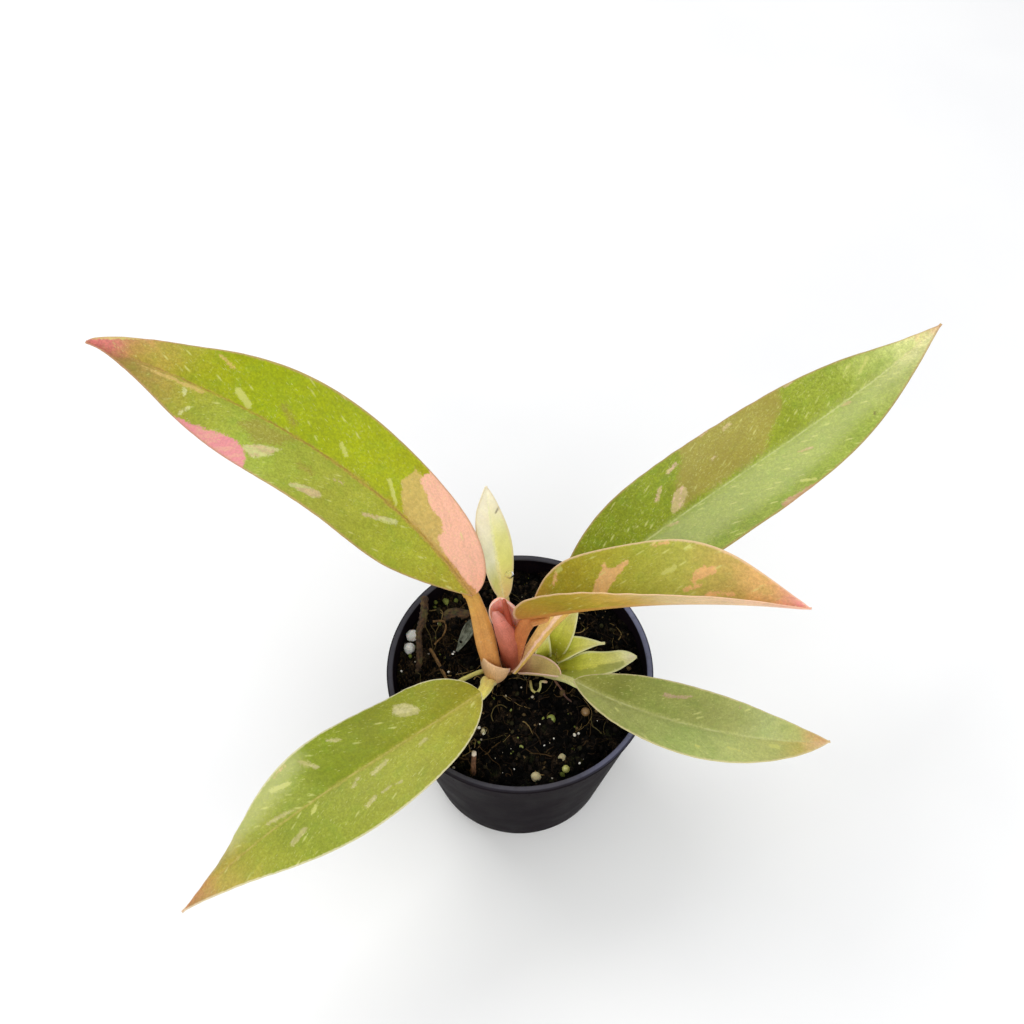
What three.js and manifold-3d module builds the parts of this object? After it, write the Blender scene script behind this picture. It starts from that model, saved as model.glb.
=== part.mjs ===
// A young variegated philodendron in a small round nursery pot.
// Millimetres, +Z up. The origin is the centre of the pot's underside, and the longest leaves spread along X.
import * as THREE from "three";
import { mergeVertices } from "three/addons/utils/BufferGeometryUtils.js";
import Module from "manifold-3d";

const wasm = await Module();
wasm.setup();

// Driving dimensions of the pot and its soil
const POT_HEIGHT = 46;
const POT_TOP_RADIUS = 30;
const POT_BASE_RADIUS = 21.5;
const POT_WALL = 1.1;
const LIP_WIDTH = 1.35;
const LIP_HEIGHT = 1.6;
const LIP_STEP = 0.4;
const LIP_ROUNDING = 0.35;
const BASE_ROUNDING = 0.8;
const DRAIN_HOLES = 6;
const DRAIN_RADIUS = 2.5;
const DRAIN_CIRCLE = 14;
const SOIL_LEVEL = 41.8;
const SOIL_RELIEF = 0.4;
const SOIL_EDGE_DEPTH = 3;
const MOUND_HEIGHT = 0.4;
const MOUND_RADIUS = 11;
const SOIL_CRUMBS = 44;
const CRUMB_RADIUS = [0.7, 1.4];
const CRUMB_MARGIN = 2.6;
const GRAIN_ROUGHNESS = [0.85, 1.1];

// Driving dimensions of the plant
const STEM = { route: [[-2.6, 1.6, 30], [-2.5, 1.8, 38], [-2.4, 2, 45]], width: [3.2, 4.6] };
const BLADE_EDGE = 0.6;
const LEAST_HALF_WIDTH = 0.4;

// The stalk arrives at its blade partly straight and partly along the midrib. It runs on under the blade as a
// rib that narrows, at these shares of the midrib's length.
const STALK_BEND = 0.4;
const RIB_SINK = 0.4;
const RIB_STATIONS = [0.08, 0.17, 0.27];
const RIB_NARROWING = 2.4;

// Clearance between pieces that touch on the real plant
const GAP = 0.3;

// Degrees of curl that stand for none, where the curl is divided by
const NO_CURL = 0.01;

// Fineness of the meshes
const POT_SIDES = 48;
const SOIL_RINGS = 9;
const SOIL_TURNS = 36;
const BLADE_MESH = { rows: 17, columns: 4, rib: 0.8 };
const SMALL_BLADE_MESH = { rows: 9, columns: 3, rib: 0.4 };
const STALK_SIDES = 8;
const STALK_STEPS = 8;
const STICK_SIDES = 6;
const STICK_STEPS = 3;
const STICK_FACE = [0.3, 0.9, 0.2];

const degrees = Math.PI / 180;
const mix = (a, b, t) => a + (b - a) * t;
const point = (p) => new THREE.Vector3(...p);

// Both halves of a blade alike.
function alike(half) {
  return { left: half, right: half };
}

// The leaves. A blade has its midrib from base to tip as four Bezier points, and two halves, left and right
// as seen along the leaf from above. A half's width is its widest, base and tip say how fast it narrows to
// each end, fold is how many degrees it stands up from level at base and tip, and wave is the height of its
// waves. Curl is how many degrees further it stands up at its edge. The stalk rises from a foot in the crown,
// where its flat side looks towards face, and width and depth are its section's at foot and head.
const LEAVES = {
  leaf_upper_left: {
    midrib: [[-10.5, 10, 60], [-28, 27, 83], [-60, 38, 96], [-92, 48, 101]],
    roll: [11, 5], curl: -6, waves: 1.6,
    left: { width: 14.5, base: 0.9, tip: 1.24, fold: [12, 14], wave: -4.2, phase: 0.1 },
    right: { width: 12.5, base: 0.46, tip: 0.65, fold: [30, 23], wave: 1.9, phase: 0.35 },
    stalk: {
      foot: [-5.8, -0.5, 44.6], rise: [-0.2, 0, 1], face: [0.3, -0.8, 0.4],
      width: [4, 3.2], depth: [2.8, 2],
    },
  },
  leaf_folded_right: {
    look: "olive",
    midrib: [[2.2, 1.8, 64.3], [17, -4.5, 80.3], [35, -9.3, 91], [54.5, -14, 95]],
    roll: [-7, 3], curl: 0, waves: 1.6, mesh: { rows: 17, columns: 4, rib: 0.3 },
    left: { width: 13, base: 0.72, tip: 0.98, fold: [37, 30], wave: 1.6, phase: 0.14 },
    right: { width: 13.4, base: 0.58, tip: 1.13, fold: [77, 58], wave: 0.4, phase: -0.06, lobe: 3.4 },
    stalk: {
      foot: [-1.6, 1, 45.6], rise: [0.16, 0, 1], face: [-0.4, -0.8, 0.3],
      width: [3, 3.4], depth: [2, 1.6],
    },
  },
  leaf_upper_right: {
    midrib: [[9, 8, 58], [36, 25.5, 75], [68, 37.5, 86.5], [94, 61.5, 92]],
    roll: [1, 2], curl: -10, waves: 1.6,
    left: { width: 13.7, base: 0.65, tip: 1.1, fold: [14, 15], wave: 1.3, phase: 0.07 },
    right: { width: 14.4, base: 0.77, tip: 1.13, fold: [15, 13], wave: 1.5, phase: 0.59 },
    stalk: {
      foot: [-1.4, -0.4, 44.4], rise: [0.6, 0.35, 1], face: [-0.5, -0.6, 0.6],
      width: [1.6, 4.2], depth: [1.4, 1.8],
    },
  },
  leaf_pale_upright: {
    look: "pale",
    midrib: [[-3.6, 12, 55.5], [-5.2, 18, 63], [-6.8, 24, 70.5], [-7.4, 25.6, 79.5]],
    roll: [-9, 0], curl: 9, waves: 1.1, mesh: { rows: 12, columns: 3, rib: 0.5 },
    left: { width: 4.3, base: 0.74, tip: 0.98, fold: [20, 20], wave: 1.6 },
    right: { width: 3.7, base: 0.71, tip: 1.08, fold: [20, 20], wave: -0.9, phase: 0.16 },
    stalk: {
      foot: [-2.9, 4.6, 44.2], rise: [-0.1, 0.2, 1], face: [0, -1, 0.3],
      width: [2.6, 2], depth: [1.8, 1.4],
    },
  },
  leaf_lower_left: {
    midrib: [[-8.5, -10.7, 54.3], [-28.5, -27, 57], [-52, -38.4, 52.4], [-69.7, -53.4, 39.5]],
    roll: [1, -6], curl: -9, waves: 1.5,
    left: { width: 12.9, base: 0.72, tip: 1.11, fold: [7, 7], wave: 1.2, phase: -0.09 },
    right: { width: 11.9, base: 0.53, tip: 1.18, fold: [9, 7], wave: 2.7, phase: 0.41 },
    stalk: {
      foot: [-6.9, -3, 44.8], rise: [-0.2, -0.7, 1], face: [0, -0.2, 1],
      width: [3.6, 2.4], depth: [2, 2],
    },
    sheath: {
      midrib: [[-5.6, -2.2, 42.9], [-6, -3.3, 44.6], [-5.8, -2.9, 46.8], [-5.4, -1.6, 49]],
      face: [0.35, 1, 0.1], curl: 80,
      ...alike({ width: 4.4, base: 0.16, tip: 0, fold: [4, 0] }),
    },
  },
  leaf_lower_right: {
    midrib: [[11.5, -8, 54.5], [28, -21, 60], [47.5, -25.5, 60.3], [65.4, -21.5, 52.8]],
    roll: [-1, -5], curl: -5, waves: 2,
    left: { width: 8.4, base: 0.63, tip: 0.91, fold: [9, 9] },
    right: { width: 7, base: 0.85, tip: 0.98, fold: [9, 8], wave: -0.3, phase: 0.17 },
    stalk: {
      foot: [5.4, -1.6, 46.7], rise: [0.6, -0.5, 0.6], face: [0, 0, 1],
      width: [1.8, 1.7], depth: [1.4, 1.5],
    },
    sheath: {
      midrib: [[-0.2, 0.6, 43.2], [2.4, 0.3, 44.4], [5.6, -1.6, 46.2], [8.8, -4.8, 50.6]],
      curl: 60,
      ...alike({ width: 3.1, base: 0.35, tip: 0.5, fold: [14, 14] }),
    },
  },
};

// The rolled sheaths that stand in the crown
const CROWN_SHEATHS = {
  spear_front: {
    midrib: [[-2.4, 0.2, 44.9], [-1.6, -0.2, 51], [-3.8, 1.1, 57.3], [-5.5, 3.4, 64.8]],
    face: [0, 1, 0], curl: 75,
    ...alike({ width: 3.2, base: 0.2, tip: 0.6, fold: [10, 5] }),
  },
  spear_back: {
    midrib: [[-2.6, 3.6, 44.6], [-2.2, 5, 52], [-3.4, 6, 59], [-4.9, 5.9, 66.3]],
    face: [0, -1, 0], curl: 70,
    left: { width: 3.4, base: 0.3, tip: 0.35, fold: [8, 0] },
    right: { width: 5.2, base: 0.6, tip: 0.8, fold: [8, 0] },
  },
};

// The offset beside the crown: four small leaves, each with a broad foot on its short stem
const OFFSET_STEM = { route: [[6.8, 3.2, 34], [6.9, 3.1, 40], [7.1, 3, 44.6]], width: [2.2, 2.8] };
const OFFSET_LEAVES = {
  offset_leaf_upright: {
    midrib: [[7.3, 4.4, 43.6], [8.6, 5.4, 49], [10.1, 6.8, 55], [12, 8.6, 61]],
    face: [-0.2, -0.6, 0.7], curl: 14,
    ...alike({ width: 3.2, base: 0.6, tip: 0.55, fold: [14, 8] }),
  },
  offset_leaf_small: {
    midrib: [[6, 2.3, 43.4], [5.4, 2.8, 46.2], [5.5, 3.7, 49.4], [6.3, 4.6, 52]],
    face: [0.1, -0.9, 0.4], curl: 20,
    left: { width: 2.7, base: 0.45, tip: 1, fold: [8, 5] },
    right: { width: 1.2, base: 0.5, tip: 0.8, fold: [8, 5] },
  },
  offset_leaf_pointed: {
    midrib: [[8.3, 3.1, 44.2], [10.4, 3.2, 48], [14.2, 3.4, 50], [18.9, 3.1, 51.2]],
    curl: 8,
    left: { width: 3.2, base: 0.5, tip: 1.2, fold: [16, 12] },
    right: { width: 2.5, base: 0.5, tip: 1.4, fold: [16, 12] },
  },
  offset_leaf_wavy: {
    midrib: [[7.9, 1, 43.2], [12.4, -1.4, 46.2], [19, 0, 48.4], [26.2, 1.4, 48]],
    curl: 6, waves: 2.1,
    left: { width: 3.1, base: 0.5, tip: 0.62, fold: [16, 12], wave: 0.5, phase: 0.3 },
    right: { width: 3.8, base: 0.5, tip: 0.75, fold: [10, 6], wave: 0.4, phase: 0.1 },
  },
};

// Round sticks and roots: the points that each runs through, and its first and last width
const STICKS = {
  spear_inner: {
    route: [[-2.3, 2.2, 46.4], [-2.5, 2.8, 54], [-3, 3.6, 60], [-3.7, 4.3, 66]],
    width: [2, 0.7], look: "pink",
  },
  old_stalk: {
    route: [[-4.2, 0.9, 43.9], [-9, -0.8, 44.8], [-13, -2.8, 44.9], [-17.6, -5.2, 43.6]],
    width: [2, 1.5], look: "pale",
  },
  root_hook: {
    route: [[3.6, -1.6, 43.7], [5.2, -2.9, 43.6], [5, -4.5, 43.4], [3.8, -5.1, 43.3], [2.8, -4.2, 43.2]],
    width: [0.8, 0.6], look: "lime",
  },
  root_pink: {
    route: [[7.6, -2.2, 43.5], [9.3, -4.3, 43.4], [10.3, -6, 43.1], [11.6, -7.2, 42.8]],
    width: [0.9, 0.6], look: "pink",
  },
  old_stem: {
    route: [[-24.6, -0.4, 40], [-24.2, 3.6, 43.6], [-23, 9.4, 48], [-21.7, 14.6, 51.6]],
    width: [1.2, 2],
  },
  cut_twig: {
    route: [[-10.3, -23.8, 39.4], [-10.2, -23.6, 43.4], [-9.9, -22.2, 48.8]],
    width: [1.7, 1.3],
  },
  strand_long: {
    route: [[-20.6, 6.4, 42.4], [-18.6, 2.6, 42.8], [-16.6, -1.6, 42.6], [-15, -5.6, 42.2]],
    width: [0.8, 0.7],
  },
  strand_loop: {
    route: [[-20.6, 13.6, 42.6], [-17.6, 13.4, 43], [-17.4, 10.6, 42.8], [-19.6, 7.6, 42.6]],
    width: [0.7, 0.7],
  },
};

// Scraps that lie on the soil
const SCRAPS = {
  scrap_leaf: {
    midrib: [[-10.6, 13.4, 43.8], [-12, 10.6, 43.4], [-13.2, 8, 43.2], [-14.4, 5.6, 43]],
    roll: [20, 10], curl: 20, waves: 1,
    ...alike({ width: 1.3, base: 0.4, tip: 0.8, fold: [5, 5], wave: 0.3 }),
  },
  scrap_bark: {
    midrib: [[-18.2, 14.8, 42.6], [-16, 15.4, 43.2], [-13.6, 15.8, 43.2], [-11.4, 16, 42.8]],
    roll: [-8, 4], curl: -30, waves: 1,
    ...alike({ width: 1.8, base: 0.4, tip: 0.5, fold: [0, 0], wave: 0.3 }),
  },
};

// Loose grains on the soil: place, radius, and height as a share of the width
const GRAINS = {
  perlite_left: { at: [-24.8, 9.2], radius: 1.1, squash: 1 },
  perlite_left_low: { at: [-25.4, 6.3], radius: 1, squash: 1 },
  perlite_front: { at: [3.4, -25], radius: 1.25, squash: 0.9 },
  perlite_tall: { at: [9.1, -20.4], radius: 0.8, squash: 1.4 },
  perlite_pair: { at: [-8.2, -14], radius: 0.85, squash: 0.8 },
  prill_green: { at: [6.9, -11.3], radius: 1, squash: 1, look: "lime" },
  prill_tan: { at: [14.6, -9.4], radius: 1, squash: 0.9, look: "brown" },
  prill_yellow: { at: [9.9, -23.2], radius: 0.85, squash: 1, look: "lime" },
};

// Seeded random numbers from 0 to 1
function randomFrom(seed) {
  let state = seed;
  return () => {
    state = (state + 0x6d2b79f5) | 0;
    let t = Math.imul(state ^ (state >>> 15), 1 | state);
    t = (t + Math.imul(t ^ (t >>> 7), 61 | t)) ^ t;
    return ((t ^ (t >>> 14)) >>> 0) / 4294967296;
  };
}

// A geometry with one vertex at each corner.
function withMergedCorners(geometry) {
  const bare = geometry.clone();
  bare.deleteAttribute("normal");
  bare.deleteAttribute("uv");
  return mergeVertices(bare, 1e-4);
}

// A closed three.js geometry as a solid that can be joined and cut.
function solidOf(geometry) {
  const merged = withMergedCorners(geometry);
  const mesh = new wasm.Mesh({
    numProp: 3,
    vertProperties: new Float32Array(merged.attributes.position.array),
    triVerts: new Uint32Array(merged.index.array),
  });
  return new wasm.Manifold(mesh);
}

function geometryOf(solid) {
  const mesh = solid.getMesh();
  const geometry = new THREE.BufferGeometry();
  geometry.setAttribute("position", new THREE.BufferAttribute(mesh.vertProperties, 3));
  geometry.setIndex(new THREE.BufferAttribute(mesh.triVerts, 1));
  geometry.computeVertexNormals();
  return geometry;
}

// The largest body of a solid, without the scraps that a cut leaves.
function largestBody(solid) {
  return solid.decompose().reduce((a, b) => (a.volume() > b.volume() ? a : b));
}

const fused = (solids) => solids.reduce((all, one) => all.add(one));
const cutBy = (solid, others) => largestBody(others.reduce((left, other) => left.subtract(other), solid));

function indexedGeometry(points, triangles) {
  const geometry = new THREE.BufferGeometry();
  geometry.setAttribute("position", new THREE.Float32BufferAttribute(points.flatMap((p) => p.toArray()), 3));
  geometry.setIndex(triangles.flat());
  return geometry;
}

// A closed solid between a sheet, given as rows of points, and the same sheet moved back along its normals.
// Both faces are split into triangles alike. With grow the solid stands that much proud of both faces.
function sheetSolid(rows, thicknessAt, grow) {
  const last = rows.length - 1;
  const wide = rows[0].length;
  const at = (i, j) => i * wide + j;
  const faces = [];
  for (let i = 0; i < last; i++) {
    for (let j = 0; j < wide - 1; j++) {
      faces.push([at(i, j), at(i, j + 1), at(i + 1, j)], [at(i, j + 1), at(i + 1, j + 1), at(i + 1, j)]);
    }
  }
  const sheet = indexedGeometry(rows.flat(), faces);
  sheet.computeVertexNormals();
  const moved = (distanceAt) =>
    rows.flatMap((row, i) =>
      row.map((p, j) => {
        const normal = new THREE.Vector3().fromBufferAttribute(sheet.attributes.normal, at(i, j));
        return p.clone().addScaledVector(normal, distanceAt(i, j));
      }),
    );
  const front = moved(() => grow);
  const back = moved((i, j) => -grow - thicknessAt(i, j));
  const edge = [];
  for (let j = 0; j < wide - 1; j++) edge.push(at(0, j));
  for (let i = 0; i < last; i++) edge.push(at(i, wide - 1));
  for (let j = wide - 1; j > 0; j--) edge.push(at(last, j));
  for (let i = last; i > 0; i--) edge.push(at(i, 0));
  const far = front.length;
  const under = faces.map(([a, b, c]) => [a + far, c + far, b + far]);
  const sides = edge.flatMap((a, k) => {
    const b = edge[(k + 1) % edge.length];
    return [[b, a, a + far], [b, a + far, b + far]];
  });
  return solidOf(indexedGeometry([...front, ...back], [...faces, ...under, ...sides]));
}

// A closed solid through stations, each an oval with its centre, two half sizes and their directions.
function stalkSolid(stations, grow = 0, sides = STALK_SIDES) {
  const points = stations.flatMap(({ at, side, face, halfWidth, halfDepth }) =>
    Array.from({ length: sides }, (_, k) => {
      const turn = (2 * Math.PI * k) / sides;
      return at
        .clone()
        .addScaledVector(side, Math.cos(turn) * (halfWidth + grow))
        .addScaledVector(face, Math.sin(turn) * (halfDepth + grow));
    }),
  );
  const faces = [];
  const last = stations.length - 1;
  for (let i = 0; i < last; i++) {
    for (let k = 0; k < sides; k++) {
      const [a, b] = [i * sides + k, i * sides + ((k + 1) % sides)];
      faces.push([a, b + sides, b], [a, a + sides, b + sides]);
    }
  }
  for (const [i, outwards] of [[0, -1], [last, 1]]) {
    const tangent = stations[Math.max(1, i)].at.clone().sub(stations[Math.max(1, i) - 1].at).normalize();
    points.push(stations[i].at.clone().addScaledVector(tangent, outwards * grow));
    for (let k = 0; k < sides; k++) {
      const pair = [i * sides + k, i * sides + ((k + 1) % sides)];
      faces.push([points.length - 1, ...(outwards > 0 ? pair.reverse() : pair)]);
    }
  }
  return solidOf(indexedGeometry(points, faces));
}

// Directions across a curve: to its right and out of its upper face, turned by roll degrees about the curve.
function acrossAt(tangent, face, roll) {
  const side = new THREE.Vector3().crossVectors(tangent, face).normalize();
  const up = new THREE.Vector3().crossVectors(side, tangent);
  const [c, s] = [Math.cos(roll * degrees), Math.sin(roll * degrees)];
  return {
    side: side.clone().multiplyScalar(c).addScaledVector(up, s),
    up: up.clone().multiplyScalar(c).addScaledVector(side, -s),
  };
}

const faceOf = (blade) => point(blade.face ?? [0, 0, 1]);
const rollAt = (blade, s) => mix(...(blade.roll ?? [0, 0]), s);
const bezier = (points) => new THREE.CubicBezierCurve3(...points.map(point));

// Half the width of a blade from its base (0) to its tip (1), as a share of the widest.
function outlineAt(s, { base, tip }) {
  const peak = base / (base + tip);
  return (s / peak) ** base * ((1 - s) / (1 - peak)) ** tip;
}

// A point of a blade's upper face: s runs from base to tip, u from the left edge (-1) to the right one (1).
function bladePoint(blade, curve, s, u, grow) {
  const half = u < 0 ? blade.left : blade.right;
  const { fold, wave = 0, phase = 0, lobe = 0 } = half;
  const reach = Math.abs(u);
  const tangent = curve.getTangent(s);
  const { side, up } = acrossAt(tangent, faceOf(blade), rollAt(blade, s));
  const width = Math.max(LEAST_HALF_WIDTH, half.width * outlineAt(s, half)) + grow;
  const start = mix(...fold, s) * degrees;
  const curl = (blade.curl || NO_CURL) * degrees;
  const out = (Math.sin(start + curl * reach) - Math.sin(start)) / curl;
  const rise = (Math.cos(start) - Math.cos(start + curl * reach)) / curl;
  const fade = Math.min(1, 6 * s * (1 - s));
  const lift = wave * reach ** 2 * Math.sin(2 * Math.PI * ((blade.waves ?? 0) * s + phase)) * fade;
  return curve
    .getPoint(s)
    .addScaledVector(tangent, -lobe * reach * (1 - s) ** 8)
    .addScaledVector(side, Math.sign(u) * out * width)
    .addScaledVector(up, rise * width + lift);
}

function bladeSolid(blade, { rows, columns, rib }, grow = 0) {
  const curve = bezier(blade.midrib);
  const grid = Array.from({ length: rows + 1 }, (_, i) => {
    const s = (1 - Math.cos((Math.PI * i) / rows)) / 2;
    const past = curve.getTangent(s).multiplyScalar(grow * ((i === rows) - (i === 0)));
    const across = Array.from({ length: 2 * columns + 1 }, (_, j) => j / columns - 1);
    return across.map((u) => bladePoint(blade, curve, s, u, grow).add(past));
  });
  const thicknessAt = (i, j) => {
    const nearRib = (1 - Math.abs(j / columns - 1)) ** 3;
    return BLADE_EDGE + rib * nearRib * Math.sqrt(1 - i / rows);
  };
  return sheetSolid(grid, thicknessAt, grow);
}

const smallBladeSolid = (blade, grow) => bladeSolid(blade, SMALL_BLADE_MESH, grow);

// The stations of a leaf's stalk, which runs on under the blade as its rib.
function stalkStations(leaf) {
  const { stalk } = leaf;
  const blade = bezier(leaf.midrib);
  const [foot, head] = [point(stalk.foot), point(leaf.midrib[0])];
  const third = foot.distanceTo(head) / 3;
  const straight = head.clone().sub(foot).normalize();
  const leaving = foot.clone().addScaledVector(point(stalk.rise).normalize(), third);
  const arrival = straight.lerp(blade.getTangent(0), STALK_BEND);
  const arriving = head.clone().addScaledVector(arrival, -third);
  const path = new THREE.CubicBezierCurve3(foot, leaving, arriving, head);
  const stations = Array.from({ length: STALK_STEPS + 1 }, (_, i) => {
    const t = i / STALK_STEPS;
    const face = point(stalk.face).lerp(faceOf(leaf), t ** 3);
    const { side, up } = acrossAt(path.getTangent(t), face, rollAt(leaf, 0) * t);
    const halfDepth = mix(...stalk.depth, t) / 2;
    const at = path.getPoint(t).addScaledVector(up, -0.5 * halfDepth * t);
    return { at, side, face: up, halfWidth: mix(...stalk.width, t) / 2, halfDepth };
  });
  for (const s of RIB_STATIONS) {
    const { side, up } = acrossAt(blade.getTangent(s), faceOf(leaf), rollAt(leaf, s));
    const radius = (stalk.depth[1] / 2) * (1 - RIB_NARROWING * s);
    const at = blade.getPoint(s).addScaledVector(up, -RIB_SINK);
    stations.push({ at, side, face: up, halfWidth: radius, halfDepth: radius });
  }
  return stations;
}

// A whole leaf: blade, stalk and, where it has one, the sheath at the stalk's foot.
function leafSolid(leaf, grow = 0) {
  const blade = bladeSolid(leaf, leaf.mesh ?? BLADE_MESH, grow);
  const sheath = leaf.sheath ? [smallBladeSolid(leaf.sheath, grow)] : [];
  return fused([blade, stalkSolid(stalkStations(leaf), grow), ...sheath]);
}

// A round stick or root along its route.
function stickSolid({ route, width }, grow = 0) {
  const curve = new THREE.CatmullRomCurve3(route.map(point));
  const steps = STICK_STEPS * (route.length - 1);
  const stations = Array.from({ length: steps + 1 }, (_, i) => {
    const t = i / steps;
    const { side, up } = acrossAt(curve.getTangent(t), point(STICK_FACE), 0);
    const radius = mix(...width, t) / 2;
    return { at: curve.getPoint(t), side, face: up, halfWidth: radius, halfDepth: radius };
  });
  return stalkSolid(stations, grow, STICK_SIDES);
}

// A rough grain half sunk in the soil: a small sphere whose corners are pushed in and out by a seeded draw.
function grainSolid({ at: [x, y], radius, squash }, grow = 0) {
  const random = randomFrom(Math.round(100 * Math.abs(x + y)));
  const ball = withMergedCorners(new THREE.IcosahedronGeometry(1, 1));
  const corners = ball.attributes.position;
  for (let i = 0; i < corners.count; i++) {
    const corner = new THREE.Vector3().fromBufferAttribute(corners, i);
    corner.multiplyScalar(radius * mix(...GRAIN_ROUGHNESS, random()) + grow);
    corner.z *= squash;
    corners.setXYZ(i, x + corner.x, y + corner.y, soilHeight(x, y) + 0.5 * radius + corner.z);
  }
  return solidOf(ball);
}

// The pot: a turned shell with a lip round its mouth and drain holes in its floor.
function potSolid() {
  const lipFoot = POT_HEIGHT - LIP_HEIGHT;
  const outline = [
    [0, 0], [POT_BASE_RADIUS - BASE_ROUNDING, 0], [POT_BASE_RADIUS, BASE_ROUNDING],
    [POT_TOP_RADIUS - LIP_STEP, lipFoot], [POT_TOP_RADIUS, lipFoot + LIP_ROUNDING],
    [POT_TOP_RADIUS, POT_HEIGHT - LIP_ROUNDING], [POT_TOP_RADIUS - LIP_ROUNDING, POT_HEIGHT],
    [POT_TOP_RADIUS - LIP_WIDTH, POT_HEIGHT], [innerRadius(lipFoot), lipFoot],
    [innerRadius(POT_WALL), POT_WALL], [0, POT_WALL],
  ];
  const shell = new THREE.LatheGeometry(outline.map(([r, z]) => new THREE.Vector2(r, z)), POT_SIDES);
  const drain = new THREE.CylinderGeometry(DRAIN_RADIUS, DRAIN_RADIUS, 4 * POT_WALL, 16);
  const drains = Array.from({ length: DRAIN_HOLES }, (_, k) => {
    const turn = (2 * Math.PI * k) / DRAIN_HOLES;
    return solidOf(drain.clone().translate(DRAIN_CIRCLE * Math.cos(turn), 0, DRAIN_CIRCLE * Math.sin(turn)));
  });
  return solidOf(geometryOf(cutBy(solidOf(shell), drains)).rotateX(Math.PI / 2));
}

// The inner face of the pot's wall at a height.
function innerRadius(z) {
  const [low, high] = [POT_BASE_RADIUS - POT_WALL, POT_TOP_RADIUS - LIP_STEP - POT_WALL];
  return mix(low, high, z / (POT_HEIGHT - LIP_HEIGHT));
}

// The soil's surface: nearly level, with a low mound round the stem and shallow hollows.
function soilHeight(x, y) {
  const [stemX, stemY] = STEM.route.at(-1);
  const mound = MOUND_HEIGHT * Math.exp(-((x - stemX) ** 2 + (y - stemY) ** 2) / MOUND_RADIUS ** 2);
  const hollows = Math.sin(0.42 * x + 1.3) * Math.cos(0.37 * y - 0.6) + 0.5 * Math.sin(0.9 * x - 0.7 * y);
  return SOIL_LEVEL + mound + SOIL_RELIEF * hollows;
}

// Crumbs of peat over the surface, sunk into it past their middles.
function soilCrumbs() {
  const random = randomFrom(7);
  const crumbs = Array.from({ length: SOIL_CRUMBS }, () => {
    const radius = mix(...CRUMB_RADIUS, random());
    const out = Math.sqrt(random()) * (innerRadius(SOIL_LEVEL) - CRUMB_MARGIN);
    const turn = 2 * Math.PI * random();
    const [x, y] = [out * Math.cos(turn), out * Math.sin(turn)];
    const crumb = new THREE.IcosahedronGeometry(radius, 0);
    crumb.rotateX(6 * random());
    crumb.rotateZ(6 * random());
    crumb.translate(x, y, soilHeight(x, y) - 0.2 * radius);
    return solidOf(crumb);
  });
  return fused(crumbs);
}

// The soil: a plug that fills the pot, with a socket for each piece that stands or lies in it.
function soilSolid(sockets) {
  const floor = POT_WALL + GAP;
  const wallAt = (z) => innerRadius(z) - GAP;
  const ringPoints = (radius, heightAt) =>
    Array.from({ length: SOIL_TURNS }, (_, k) => {
      const turn = (2 * Math.PI * k) / SOIL_TURNS;
      const [x, y] = [radius * Math.cos(turn), radius * Math.sin(turn)];
      return new THREE.Vector3(x, y, heightAt(x, y));
    });
  const radii = Array.from({ length: SOIL_RINGS }, (_, i) => (wallAt(SOIL_LEVEL) * (i + 1)) / SOIL_RINGS);
  const surface = radii.map((radius) => ringPoints(radius, soilHeight));
  const below = [SOIL_LEVEL - SOIL_EDGE_DEPTH, floor].map((z) => ringPoints(wallAt(z), () => z));
  const layers = [...surface, ...below];
  const [top, bottom] = [soilHeight(0, 0), floor].map((z) => new THREE.Vector3(0, 0, z));
  const points = [...layers.flat(), top, bottom];
  const faces = [];
  const last = (layers.length - 1) * SOIL_TURNS;
  for (let k = 0; k < SOIL_TURNS; k++) {
    const next = (k + 1) % SOIL_TURNS;
    faces.push([points.length - 2, k, next], [last + k, points.length - 1, last + next]);
    for (let i = 0; i < last; i += SOIL_TURNS) {
      const [a, b] = [i + k, i + next];
      faces.push([a, a + SOIL_TURNS, b + SOIL_TURNS], [a, b + SOIL_TURNS, b]);
    }
  }
  return cutBy(solidOf(indexedGeometry(points, faces)).add(soilCrumbs()), sockets);
}

// Plain finishes, one for each kind of surface
const LOOKS = {
  pot: { color: 0x1c1b20, roughness: 0.45 },
  soil: { color: 0x1d1712, roughness: 0.95 },
  leaf: { color: 0x8fa32c, roughness: 0.4 },
  olive: { color: 0x9a8f35, roughness: 0.4 },
  pale: { color: 0xd4dd9a, roughness: 0.45 },
  pink: { color: 0xc4786c, roughness: 0.45 },
  lime: { color: 0xb9c95a, roughness: 0.4 },
  brown: { color: 0x7a5a35, roughness: 0.8 },
  grain: { color: 0xe9e6da, roughness: 0.8 },
};

const root = new THREE.Group();

function addNode(name, solid, look) {
  const material = new THREE.MeshStandardMaterial({ metalness: 0, ...LOOKS[look] });
  const mesh = new THREE.Mesh(geometryOf(solid), material);
  mesh.name = name;
  root.add(mesh);
}

// Pieces are placed one after the other, each cut clear of the room that the earlier ones keep.
const rooms = [];

function placePiece(name, solidWith, look) {
  addNode(name, rooms.length ? cutBy(solidWith(0), rooms) : solidWith(0), look);
  rooms.push(solidWith(GAP));
}

function placeAll(pieces, solidWith, look) {
  for (const [name, piece] of Object.entries(pieces)) {
    placePiece(name, (grow) => solidWith(piece, grow), piece.look ?? look);
  }
}

addNode("pot", potSolid(), "pot");
placePiece("stem", (grow) => stickSolid(STEM, grow), "pale");
placePiece("offset_stem", (grow) => stickSolid(OFFSET_STEM, grow), "lime");
placeAll(CROWN_SHEATHS, smallBladeSolid, "pink");
placeAll(LEAVES, leafSolid, "leaf");
placeAll(OFFSET_LEAVES, smallBladeSolid, "lime");
placeAll(STICKS, stickSolid, "brown");
placeAll(SCRAPS, smallBladeSolid, "brown");
placeAll(GRAINS, grainSolid, "grain");
addNode("soil", soilSolid(rooms), "soil");

export default root;
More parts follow.
